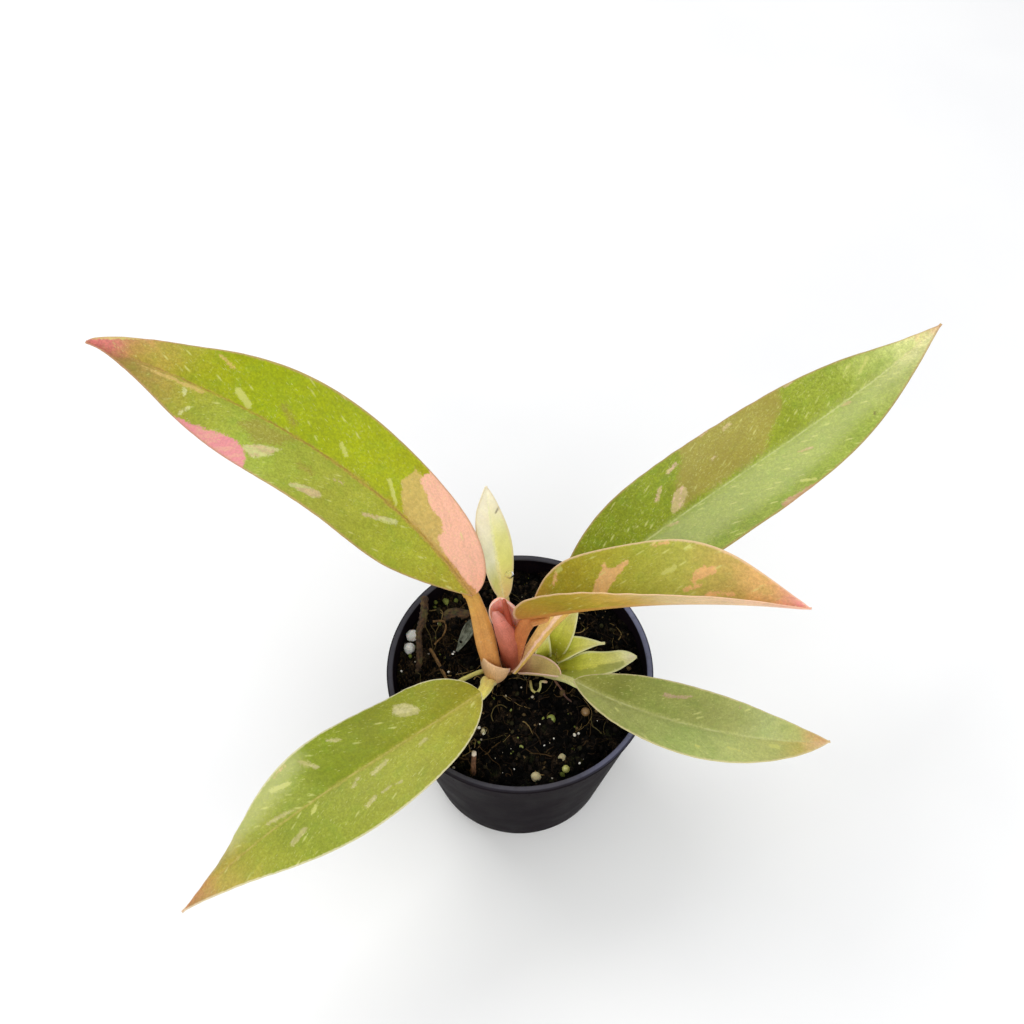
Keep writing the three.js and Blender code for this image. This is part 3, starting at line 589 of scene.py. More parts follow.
class Shape:
    """A mesh in the making: points in mm, faces and their looks, and what each point knows of its place."""

    KNOWN = ("share", "place", "marks", "marks2", "tint")

    def __init__(self):
        self.points, self.faces, self.looks = [], [], []
        self.known = {name: [] for name in self.KNOWN}
        self.count = 0

    def add(self, points, faces, look=0, **known):
        points = np.asarray(points, float).reshape(-1, 3)
        self.points.append(points)
        self.faces += [[corner + self.count for corner in face] for face in faces]
        self.looks += [look] * len(faces)
        self.count += len(points)
        for name in self.KNOWN:
            self.known[name].append(np.broadcast_to(known.get(name, (0, 0, 0)), points.shape))

    def mesh_object(self, name, materials):
        """The shape as a mesh object in metres."""
        mesh = bpy.data.meshes.new(name)
        mesh.from_pydata((np.concatenate(self.points) * MM).tolist(), [], self.faces)
        for material in materials:
            mesh.materials.append(material)
        mesh.polygons.foreach_set("material_index", self.looks)
        mesh.polygons.foreach_set("use_smooth", [True] * len(self.faces))
        for key, values in self.known.items():
            values = np.concatenate(values)
            if values.any():
                layer = mesh.attributes.new(key, "FLOAT_VECTOR", "POINT")
                layer.data.foreach_set("vector", values.astype(np.float32).ravel())
        mesh.update()
        made = bpy.data.objects.new(name, mesh)
        bpy.context.collection.objects.link(made)
        return made

    def piece(self, name, materials, node=None, slot=None):
        """A piece on the body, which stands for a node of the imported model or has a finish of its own."""
        made = self.mesh_object(name, materials)
        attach(made, BODY)
        if node:
            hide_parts(node)
        return made


def tube_faces(rings, sides):
    """Faces of a closed tube through rings of points, with a cap at each end."""
    faces = []
    for i in range(rings - 1):
        a, b = i * sides, (i + 1) * sides
        faces += [[a + k, a + (k + 1) % sides, b + (k + 1) % sides, b + k] for k in range(sides)]
    return [list(range(sides))[::-1], *faces, [(rings - 1) * sides + k for k in range(sides)]]


def add_blade(shape, blade, look, rows, columns, edge, rib, relief, seed):
    """A closed blade: its upper face, a rounded edge, and an under face a little behind the upper one."""
    t = np.linspace(0, 1, rows)
    s = mix(t, (1 - np.cos(math.pi * t)) / 2, 0.7)
    v = np.linspace(-1, 1, columns)
    u = np.sign(v) * np.abs(v) ** 0.9
    front = blade_surface(blade, s, u)
    normal = grid_normals(front)
    along, sideways, to_edge = flat_place(blade, s, u)
    away = np.abs(sideways)
    inner = smooth(0, FRAY_REACH, to_edge)
    groove = np.exp(-((away / GROOVE_WIDTH) ** 2)) * (1 - s[:, None]) ** 0.5 * smooth(0.02, 0.12, s[:, None])
    quilt = np.sin(2 * math.pi * vein_line(along, away) / QUILT_SPACING) * smooth(0.5, 2.5, away) * inner
    swell = 0.16 * ripple(front, 13, seed) + 0.1 * ripple(front, 6, seed + 1)
    fray = FRAY_DEPTH * ripple(front, 4, seed + 2) * (1 - inner)
    height = -GROOVE_DEPTH * groove + QUILT_DEPTH * quilt + swell * smooth(0, 3, away) + fray
    front = front + normal * (relief * height)[..., None]
    normal = grid_normals(front)
    thick = edge + rib * (1 - np.abs(u))[None, :] ** 3 * np.sqrt(1 - s)[:, None]
    thick = thick * mix(THIN_RIM, 1, smooth(0, 0.8, to_edge))
    back = (front - normal * thick[..., None])[:, ::-1]
    outwards = unit(front[:, [0, -1]] - front[:, [1, -2]])
    middle = (front[:, [0, -1]] + back[:, [-1, 0]]) / 2 + outwards * (0.3 * thick[:, [0, -1]])[..., None]
    rings = np.concatenate([front, middle[:, 1:], back, middle[:, :1]], axis=1)

    def ringed(values, rim=None, under=None):
        """Values of the upper face carried round its edges and over the under face."""
        under = values[:, ::-1] if under is None else under
        left, right = (values[:, :1], values[:, -1:]) if rim is None else (rim, rim)
        return np.concatenate([values, right, under, left], axis=1)

    flat = np.zeros((rows, columns))
    marks = mark_fields(blade, along, sideways)
    stacked = {
        "share": [ringed(s[:, None] + flat), ringed(u[None, :] + flat),
                  ringed(flat, flat[:, :1] + 0.5, flat + 1)],
        "place": [ringed(along), ringed(sideways), ringed(to_edge)],
        "marks": [ringed(marks[kind]) for kind in MARK_KINDS[:3]],
        "marks2": [ringed(marks[kind]) for kind in MARK_KINDS[3:]],
    }
    known = {key: np.stack(values, axis=-1).reshape(-1, 3) for key, values in stacked.items()}
    shape.add(rings, tube_faces(rows, rings.shape[1]), look, **known)


def oval_ring(centre, side, up, half_width, half_depth, sides, groove=0.0):
    """Rings of points round a curve, with a groove along their upper side."""
    turn = np.linspace(0, 2 * math.pi, sides, endpoint=False)
    dip = 1 - groove * np.exp(-((np.cos(turn) / 0.35) ** 2)) * (np.sin(turn) > 0)
    x = np.cos(turn)[None, :] * half_width[:, None]
    y = (np.sin(turn) * dip)[None, :] * half_depth[:, None]
    return centre[:, None] + side[:, None] * x[..., None] + up[:, None] * y[..., None]


def add_tube(shape, rings, look, roughness, size, seed):
    """A closed tube through rings of points, uneven by roughness mm, and with rounded ends."""
    sides = rings.shape[1]
    centre = rings.mean(axis=1, keepdims=True)
    bump = ripple(rings, size, seed) + 0.5 * ripple(rings, size / 3, seed + 1)
    rings = rings + unit(rings - centre) * (roughness * bump)[..., None]
    steps = np.linalg.norm(np.diff(centre[:, 0], axis=0), axis=1)
    along = np.concatenate([[0], np.cumsum(steps)])
    radius = np.linalg.norm(rings - centre, axis=2).mean(axis=1)
    for end, inward in ((0, 1), (-1, -1)):
        tip, towards = rings[end].copy(), unit(centre[end] - centre[end + inward])
        for shrink, push in END_ROUNDING:
            ring = centre[end] + (tip - centre[end]) * shrink + towards * push * radius[end]
            rings = np.concatenate([ring[None], rings] if end == 0 else [rings, ring[None]])
    t = np.concatenate([[0, 0], along / along[-1], [1, 1]])[:, None]
    turn = np.linspace(-1, 1, sides, endpoint=False)[None, :]
    share = np.stack(np.broadcast_arrays(t, turn, 0.0), axis=-1)
    place = np.stack(np.broadcast_arrays(t * along[-1], turn * radius.mean() * 3, NO_MARK), axis=-1)
    no_marks = (NO_MARK,) * 3
    shape.add(rings, tube_faces(len(t), sides), look, share=share.reshape(-1, 3), place=place.reshape(-1, 3),
              marks=no_marks, marks2=no_marks)


def add_stalk(shape, leaf, seed, sides=36, steps=80):
    """A leaf's stalk, which runs on under the blade as its rib and sinks into it."""
    stalk = leaf["stalk"]
    foot, head = np.array(stalk["foot"], float), np.array(leaf["midrib"][0], float)
    _, blade_along = bezier(leaf["midrib"], [0])
    third = np.linalg.norm(head - foot) / 3
    leaving = foot + unit(stalk["rise"]) * third
    arriving = head - mix(unit(head - foot), blade_along[0], STALK_BEND) * third
    t = np.linspace(0, 1, steps)
    centre, along = bezier([foot, leaving, arriving, head], t)
    blade_face = np.array(leaf.get("face", LEVEL_FACE), float)
    face = mix(np.array(stalk["face"], float), blade_face, t[:, None] ** 3)
    roll = leaf["roll"]
    side, up = across(along, face, roll[0] * t)
    half_width, half_depth = mix(*stalk["width"], t) / 2, mix(*stalk["depth"], t) / 2
    half_width = half_width + stalk.get("swell", 0) * np.sin(math.pi * t) ** 2
    centre = centre - up * (half_depth * (0.5 * t + 0.5 * t**6) + 0.12 * t**8)[:, None]

    s = np.linspace(RIB_START, stalk.get("rib", RIB_END), RIB_STEPS)
    rib, rib_along = bezier(leaf["midrib"], s)
    rib_side, rib_up = across(rib_along, blade_face, mix(*roll, s))
    radius = stalk["depth"][1] / 2 * (1 - RIB_NARROWING * s)
    rib_depth = np.minimum(radius, half_depth[-1])
    sunk = rib_depth + np.interp(s, [RIB_START, 0.05], RIB_SINK)
    ends = [half_width[-1], radius[RIB_STEPS // 3]]
    rib_width = np.minimum(np.interp(s, [RIB_START, 0.1], ends), half_width[-1])
    rings = oval_ring(
        np.concatenate([centre, rib - rib_up * sunk[:, None]]),
        np.concatenate([side, rib_side]), np.concatenate([up, rib_up]),
        np.concatenate([half_width, rib_width]), np.concatenate([half_depth, rib_depth]), sides, STALK_GROOVE,
    )
    add_tube(shape, rings, 1, 0.05, 5, seed)


def leaf_piece(name, materials):
    """A leaf: its blade, its stalk and rib, and the sheath at its foot where it has one."""
    leaf = LEAVES[name]
    shape = Shape()
    seed = 10 * (1 + list(LEAVES).index(name))
    edge, rib = leaf.get("edge", BLADE_EDGE), leaf.get("rib", BLADE_RIB)
    add_blade(shape, leaf, 0, *leaf.get("mesh", LEAF_MESH), edge, rib, leaf.get("relief", 1), seed)
    add_stalk(shape, leaf, seed + 5)
    if "sheath" in leaf:
        add_blade(shape, leaf["sheath"], 2, *SHEATH_FORM, seed + 7)
    shape.piece(f"leaf_{name}_blade", materials, f"leaf_{name}")


def blade_piece(name, blade, material, seed, edge=0.4, rib=0.4, relief=0.5, rows=90, columns=36):
    shape = Shape()
    add_blade(shape, blade, 0, rows, columns, edge, rib, relief, seed)
    shape.piece(f"{name}_fine", [material], name)


def stick_piece(name, stick, material, roughness, size, seed, steps=70, sides=20, rings=0.0):
    """A stick, root or stem along its route: knobs and hollows, and the rings that fallen leaves left."""
    t = np.linspace(0, 1, steps)
    centre, along = through(stick["route"], t)
    side, up = across(along, STICK_FACE, np.zeros(steps))
    radius = mix(*stick["width"], t) / 2 * (1 + rings * np.sin(2 * math.pi * t * STEM_RINGS))
    shape = Shape()
    add_tube(shape, oval_ring(centre, side, up, radius, radius, sides), 0, roughness, size, seed)
    shape.piece(f"{name}_fine", [material], name)


def soil_level(x, y):
    """The soil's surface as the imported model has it: nearly level, with a low mound and shallow hollows."""
    stem_x, stem_y = STEM["route"][-1][:2]
    mound = MOUND_HEIGHT * np.exp(-((x - stem_x) ** 2 + (y - stem_y) ** 2) / MOUND_RADIUS**2)
    hollows = np.sin(0.42 * x + 1.3) * np.cos(0.37 * y - 0.6) + 0.5 * np.sin(0.9 * x - 0.7 * y)
    return SOIL_LEVEL + mound + SOIL_RELIEF * hollows


def crumb_bed(x, y, cell, seed):
    """Heights of a bed of rounded crumbs about cell mm apart, and a random number for the crumb on top."""
    random = np.random.default_rng(seed)
    middle = int(BED_REACH / cell) + 2
    count = 2 * middle + 1
    shift, size, lift, kind = random.random((2, count, count)), *random.random((3, count, count))
    i, j = np.floor(x / cell).astype(int), np.floor(y / cell).astype(int)
    height, on_top = np.full(x.shape, -NO_MARK), np.zeros(x.shape)
    for di, dj in itertools.product((-1, 0, 1), repeat=2):
        at = (i + di + middle, j + dj + middle)
        radius = cell * (0.5 + 0.45 * size[at])
        away = np.hypot(x - (i + di + shift[0][at]) * cell, y - (j + dj + shift[1][at]) * cell) / radius
        dome = radius * np.sqrt(np.maximum(0, 1 - away**2)) - 0.5 * radius * np.maximum(0, away - 1)
        dome = dome + cell * (lift[at] - 0.5) * 0.7
        on_top = np.where(dome > height, kind[at], on_top)
        height = np.maximum(height, dome)
    return height, on_top


def soil_surface(x, y):
    """The soil's surface with its crumbs, and three random numbers that colour them."""
    spot = np.stack([x, y, np.zeros_like(x)], axis=-1)
    bent = [
        at + 0.5 * ripple(spot, 2.2, seed) + 0.2 * ripple(spot, 0.8, seed + 2)
        for at, seed in ((x, 3), (y, 4))
    ]
    coarse, middle, fine = crumb_bed(*bent, 2.9, 1), crumb_bed(*bent, 1.2, 2), crumb_bed(x, y, 0.55, 3)
    height = 0.5 * coarse[0] + 0.6 * middle[0] + 0.7 * fine[0] + 0.3 * ripple(spot, 9, 7) - SOIL_DROP
    return soil_level(x, y) + height, np.stack([coarse[1], middle[1], fine[1]], axis=-1)


def inner_radius(z):
    low, high = POT_BASE_RADIUS - POT_WALL, POT_TOP_RADIUS - LIP_STEP - POT_WALL
    return mix(low, high, z / (POT_HEIGHT - LIP_HEIGHT))


def soil_piece(material):
    """The soil: a square grid pulled into a disc for its surface, then rings down along the pot's wall."""
    a, b = np.meshgrid(*[np.linspace(-1, 1, SOIL_GRID)] * 2, indexing="ij")
    radius = inner_radius(SOIL_LEVEL) - SOIL_INSET
    x, y = radius * a * np.sqrt(1 - b**2 / 2), radius * b * np.sqrt(1 - a**2 / 2)
    z, kinds = soil_surface(x, y)
    at = np.arange(SOIL_GRID**2).reshape(SOIL_GRID, SOIL_GRID)
    faces = np.stack([at[:-1, :-1], at[1:, :-1], at[1:, 1:], at[:-1, 1:]], axis=-1).reshape(-1, 4).tolist()
    points, tints = [np.stack([x, y, z], axis=-1).reshape(-1, 3)], [kinds.reshape(-1, 3)]
    above = edge = np.concatenate([at[:-1, 0], at[-1, :-1], at[:0:-1, -1], at[0, :0:-1]])
    rim, rim_tints = points[0][edge], tints[0][edge]
    for k, height in enumerate((39, 34, 26, 18, 10, 4, POT_WALL + 0.1)):
        ring = rim.copy()
        ring[:, :2] *= ((inner_radius(height) - SOIL_INSET) / np.hypot(rim[:, 0], rim[:, 1]))[:, None]
        ring[:, 2] = height
        below = SOIL_GRID**2 + k * len(edge) + np.arange(len(edge))
        faces += np.stack([above, below, np.roll(below, -1), np.roll(above, -1)], axis=-1).tolist()
        points.append(ring)
        tints.append(rim_tints)
        above = below
    faces.append(above[::-1].tolist())
    shape = Shape()
    shape.add(np.concatenate(points), faces, tint=np.concatenate(tints))
    shape.piece("soil_bed", [material], "soil")


def ball(subdivisions):
    """Points and faces of a round ball of radius 1."""
    work = bmesh.new()
    bmesh.ops.create_icosphere(work, subdivisions=subdivisions, radius=1)
    points = np.array([corner.co[:] for corner in work.verts])
    faces = [[corner.index for corner in face.verts] for face in work.faces]
    work.free()
    return points, faces


def turned(points, random):
    """Points turned about the origin by a random rotation."""
    axes, _ = np.linalg.qr(random.normal(size=(3, 3)))
    return points @ (axes * np.sign(np.linalg.det(axes)))


def spot_in_pot(random, margin):
    out, turn = (SOIL_RIM - margin) * math.sqrt(random.random()), 2 * math.pi * random.random()
    return out * math.cos(turn), out * math.sin(turn)


def surface_at(x, y):
    height, _ = soil_surface(np.array([float(x)]), np.array([float(y)]))
    return float(height[0])


def crumbs_piece(name, material, slot, count, sizes, seed, spots=()):
    """Loose crumbs over the soil, each a ball squeezed and roughened by seeded draws."""
    random = np.random.default_rng(seed)
    base, faces = ball(2)
    shape = Shape()
    places = [
        (*spot_in_pot(random, 1), mix(*sizes, random.random() ** 2), random.random()) for _ in range(count)
    ]
    places += [(x, y, size / 2, tint) for x, y, size, tint in spots]
    for x, y, size, tint in places:
        squeeze = random.uniform(0.65, 1.15, 3)
        lumps = 1 + 0.3 * ripple(base + random.uniform(0, 9, 3), 1.3, int(seed + 1000 * size))
        points = turned(base * lumps[:, None] * squeeze, random) * size
        points = points + (x, y, surface_at(x, y) + size * (1 - CRUMB_SINK))
        shape.add(points, faces, tint=(tint, random.random(), random.random()))
    shape.piece(name, [material], slot=slot)


def fibres_piece(material, count, lengths, thicknesses, seed):
    """Thin root fibres that lie over the soil in loose bends."""
    random = np.random.default_rng(seed)
    shape = Shape()
    fibres = []
    for _ in range(count):
        x, y = spot_in_pot(random, 2.5)
        way = 2 * math.pi * random.random()
        length, lift = mix(*lengths, random.random() ** 2), random.random()
        bend = random.normal(0, 1.3)
        path = []
        for k in np.linspace(0, 1, 10):
            path.append((x, y, 0.12 + 0.5 * lift * math.sin(math.pi * k)))
            x, y = x + length / 9 * math.cos(way), y + length / 9 * math.sin(way)
            way += bend / 9 + random.normal(0, 0.22)
        if max(math.hypot(px, py) for px, py, _ in path) < SOIL_RIM - 0.6:
            fibres.append((path, mix(*thicknesses, random.random() ** 2), random.random()))
    t = np.linspace(0, 1, 24)
    for path, radius, tint in [*fibres, *FIBRES]:
        centre, _ = through(path, t)
        ground, _ = soil_surface(centre[:, 0], centre[:, 1])
        smoothed = np.convolve(np.pad(ground, 3, mode="edge"), np.ones(7) / 7, mode="valid")
        centre[:, 2] += np.maximum(smoothed, ground - 0.2)
        along = unit(np.gradient(centre, axis=0))
        side, up = across(along, (0.1, 0.2, 1), np.zeros(len(t)))
        thick = radius * (1 - 0.5 * t)
        shape.add(oval_ring(centre, side, up, thick, thick, 6), tube_faces(len(t), 6), tint=(tint, 0.5, 0.5))
    shape.piece("root_fibres", [material], slot="root")


def grain_piece(name, grain, material, lumps, seed, pores=0.0):
    """One grain half sunk in the soil, lumpy and, where pores is set, pitted."""
    x, y, radius, squash = grain
    points, faces = ball(5)
    if pores:
        pits = np.minimum(0, ripple(points, 0.45, seed + 3, 10) + 0.12)
        pits = pits + 0.5 * ripple(points, 0.2, seed + 4, 9)
        points = points * (1 + pores * pits)[:, None]
    points = points * (1 + lumps * ripple(points, 1.6, seed))[:, None] * (radius, radius, radius * squash)
    shape = Shape()
    shape.add(points + (x, y, float(soil_level(x, y)) + 0.5 * radius), faces)
    shape.piece(f"{name}_fine", [material], name)


def rounded_outline(corners, steps=5):
    """An outline of (radius, height, rounding) corners with each corner turned into an arc."""
    outline = []
    for k, (r, z, rounding) in enumerate(corners):
        here = np.array([r, z], float)
        if not rounding:
            outline.append(here)
            continue
        before, after = (np.array(corners[n % len(corners)][:2], float) for n in (k - 1, k + 1))
        start, end = (here + unit(other - here) * rounding for other in (before, after))
        for t in np.linspace(0, 1, steps):
            outline.append((1 - t) ** 2 * start + 2 * t * (1 - t) * here + t**2 * end)
    return np.array(outline)


def turned_points(outline, sides):
    """Rings of points round the pot's axis, one for each (radius, height) of an outline."""
    turn = np.linspace(0, 2 * math.pi, sides, endpoint=False)
    r, z = outline[:, 0][:, None], outline[:, 1][:, None]
    return np.stack([r * np.cos(turn), r * np.sin(turn), np.broadcast_to(z, (len(outline), sides))], axis=-1)


def cut_by(piece, cutter):
    """Cuts one mesh out of another, and removes the cutter."""
    cut = piece.modifiers.new("cut", "BOOLEAN")
    cut.operation, cut.solver, cut.object = "DIFFERENCE", "EXACT", cutter
    graph = bpy.context.evaluated_depsgraph_get()
    mesh = bpy.data.meshes.new_from_object(piece.evaluated_get(graph))
    piece.modifiers.clear()
    piece.data = mesh
    bpy.data.objects.remove(cutter)


def pot_piece(material, sides=224):
    """The pot: a turned shell with a stepped lip, a foot ring, and drain holes in its floor."""
    base, mouth, lip_foot = POT_BASE_RADIUS, POT_TOP_RADIUS, POT_HEIGHT - LIP_HEIGHT
    under_lip = mouth - LIP_STEP
    corners = [
        (FLOOR_MIDDLE, 0, 0), (base - 3.2, 0, 0.3), (base - 2.6, 0.5, 0.3), (base - 1.6, 0.5, 0.2),
        (base - 1.2, 0, 0.3), (base, 0, 0.7),
        *[(mix(base, under_lip, share), lip_foot * share, 0) for share in (0.3, 0.7)],
        (under_lip, lip_foot, 0.12), (mouth, lip_foot + 0.25, 0.25), (mouth, POT_HEIGHT, 0.4),
        (mouth - LIP_WIDTH, POT_HEIGHT, 0.4), (inner_radius(lip_foot), lip_foot, 0.5),
        *[(inner_radius(height), height, 0) for height in (30, 12)],
        (inner_radius(POT_WALL), POT_WALL, 0.8), (FLOOR_MIDDLE, POT_WALL, 0),
    ]
    outline = rounded_outline(corners)
    points = turned_points(outline, sides)
    points[..., :2] *= (1 + 0.0015 * ripple(points, 16, 41))[..., None]
    shape = Shape()
    shape.add(points, tube_faces(len(outline), sides))
    holes = Shape()
    hole = turned_points(np.array([[DRAIN_RADIUS, -1], [DRAIN_RADIUS, 3]], float), DRAIN_SIDES)
    for turn in np.linspace(0, 2 * math.pi, DRAIN_HOLES, endpoint=False):
        place = (DRAIN_CIRCLE * math.cos(turn), DRAIN_CIRCLE * math.sin(turn), 0)
        holes.add(hole + place, tube_faces(2, DRAIN_SIDES))
    cut_by(shape.piece("pot_shell", [material], "pot"), holes.mesh_object("holes", []))


def droplet_piece(material):
    """A drop of water on a leaf: a low dome over a rounded foot."""
    points, faces = ball(4)
    points[:, 2] *= np.where(points[:, 2] < 0, 0.25, 0.75)
    normal = unit(DROPLET["up"])
    side = across(unit(np.cross(normal, (0, 1, 0)))[None], normal, np.zeros(1))[0][0]
    axes = np.stack([unit(np.cross(normal, side)), side, normal])
    shape = Shape()
    shape.add(points * DROPLET["radius"] @ axes + DROPLET["at"], faces)
    shape.piece("water_droplet", [material], slot="water_drop")


def linear(colour, alpha=1.0):
    """A hex colour as the linear values that a shader takes."""
    parts = [int(colour[k : k + 2], 16) / 255 for k in (1, 3, 5)]
    return (*[c / 12.92 if c <= 0.04045 else ((c + 0.055) / 1.055) ** 2.4 for c in parts], alpha)


class Wire:
    """A socket that can be written into sums."""

    def __init__(self, graph, socket):
        self.graph, self.socket = graph, socket

    def __add__(self, other):
        return self.graph.math("ADD", self, other)

    def __sub__(self, other):
        return self.graph.math("SUBTRACT", self, other)

    def __rsub__(self, other):
        return self.graph.math("SUBTRACT", other, self)

    def __mul__(self, other):
        return self.graph.math("MULTIPLY", self, other)

    __radd__, __rmul__ = __add__, __mul__


class Graph:
    """The nodes of one material."""

    def __init__(self, name):
        self.material = bpy.data.materials.new(name)
        self.material.use_nodes = True
        self.nodes, self.links = self.material.node_tree.nodes, self.material.node_tree.links
        self.nodes.clear()
        self.fields = {}

    def put(self, value, socket):
        if isinstance(value, Wire):
            self.links.new(value.socket, socket)
        elif isinstance(value, str):
            socket.default_value = linear(value)[: len(socket.default_value)]
        else:
            socket.default_value = value

    def node(self, kind, settings=(), **inputs):
        """A node with its settings, and its inputs by their names, with a line where a name has a space."""
        made = self.nodes.new(kind)
        for key, value in dict(settings).items():
            setattr(made, key, value)
        for key, value in inputs.items():
            self.put(value, made.inputs[key.replace("_", " ")])
        return made

    def math(self, operation, a, b=0.0):
        made = self.node("ShaderNodeMath", {"operation": operation})
        self.put(a, made.inputs[0])
        self.put(b, made.inputs[1])
        return Wire(self, made.outputs[0])

    def field(self, name):
        """The three numbers that each point of a mesh knows under a name."""
        if name not in self.fields:
            known = self.node("ShaderNodeAttribute", {"attribute_name": name})
            self.fields[name] = self.parts(Wire(self, known.outputs["Vector"]))
        return self.fields[name]

    def parts(self, vector):
        """The three numbers of a vector."""
        return [Wire(self, out) for out in self.node("ShaderNodeSeparateXYZ", Vector=vector).outputs]

    def vector(self, x, y=0.0, z=0.0):
        return Wire(self, self.node("ShaderNodeCombineXYZ", X=x, Y=y, Z=z).outputs[0])

    def scaled(self, vector, scale):
        made = self.node("ShaderNodeVectorMath", {"operation": "SCALE"}, Scale=scale)
        self.put(vector, made.inputs[0])
        return Wire(self, made.outputs[0])

    def place(self):
        """The place of a point in millimetres."""
        return self.scaled(Wire(self, self.node("ShaderNodeTexCoord").outputs["Object"]), 1 / MM)

    def noise(self, at, scale, detail=3.0, roughness=0.55):
        return Wire(self, self.node("ShaderNodeTexNoise", Vector=at, Scale=scale, Detail=detail,
                                    Roughness=roughness).outputs[0])

    def cells(self, at, scale):
        """Distances to the nearest of scattered points, and two random numbers for each point."""
        made = self.node("ShaderNodeTexVoronoi", Vector=at, Scale=scale)
        chance = self.node("ShaderNodeSeparateColor", Color=Wire(self, made.outputs["Color"]))
        return [Wire(self, out) for out in (made.outputs["Distance"], *chance.outputs[:2])]

    def step(self, value, low, high, to=(0.0, 1.0)):
        """A smooth step of a value between low and high."""
        made = self.node("ShaderNodeMapRange", {"interpolation_type": "SMOOTHSTEP"}, Value=value,
                         From_Min=low, From_Max=high, To_Min=to[0], To_Max=to[1])
        return Wire(self, made.outputs[0])

    def clouds(self, at, scale, low, high, detail=3.0, roughness=0.55):
        """Noise as soft-edged patches of 0 and 1."""
        return self.step(self.noise(at, scale, detail, roughness), low, high)

    def ramp(self, value, stops):
        made = self.node("ShaderNodeValToRGB", Fac=value)
        ramp = made.color_ramp
        while len(ramp.elements) < len(stops):
            ramp.elements.new(0.5)
        for element, (position, colour) in zip(ramp.elements, stops):
            element.position, element.color = position, linear(colour)
        return Wire(self, made.outputs[0])

    def mix(self, a, b, share):
        made = self.node("ShaderNodeMix", {"data_type": "RGBA"})
        for socket, value in zip((0, 6, 7), (share, a, b)):
            self.put(value, made.inputs[socket])
        return Wire(self, made.outputs[2])

    def shade(self, colour, value, by):
        """A colour made up to by lighter where the value is 1, and as much darker where it is 0."""
        return self.scaled(colour, self.step(value, 0, 1, (1 - by, 1 + by)))

    def finish(self, colour, roughness, relief, depth, **settings):
        """The surface: relief is a height in shares of depth mm, and settings are plain numbers."""
        bump = self.node("ShaderNodeBump", Height=relief, Distance=depth * MM, Strength=1.0)
        shader = self.node("ShaderNodeBsdfPrincipled", Base_Color=colour, Roughness=roughness,
                           Normal=Wire(self, bump.outputs[0]), **settings)
        out = self.nodes.new("ShaderNodeOutputMaterial")
        self.links.new(shader.outputs[0], out.inputs[0])
        return self.material
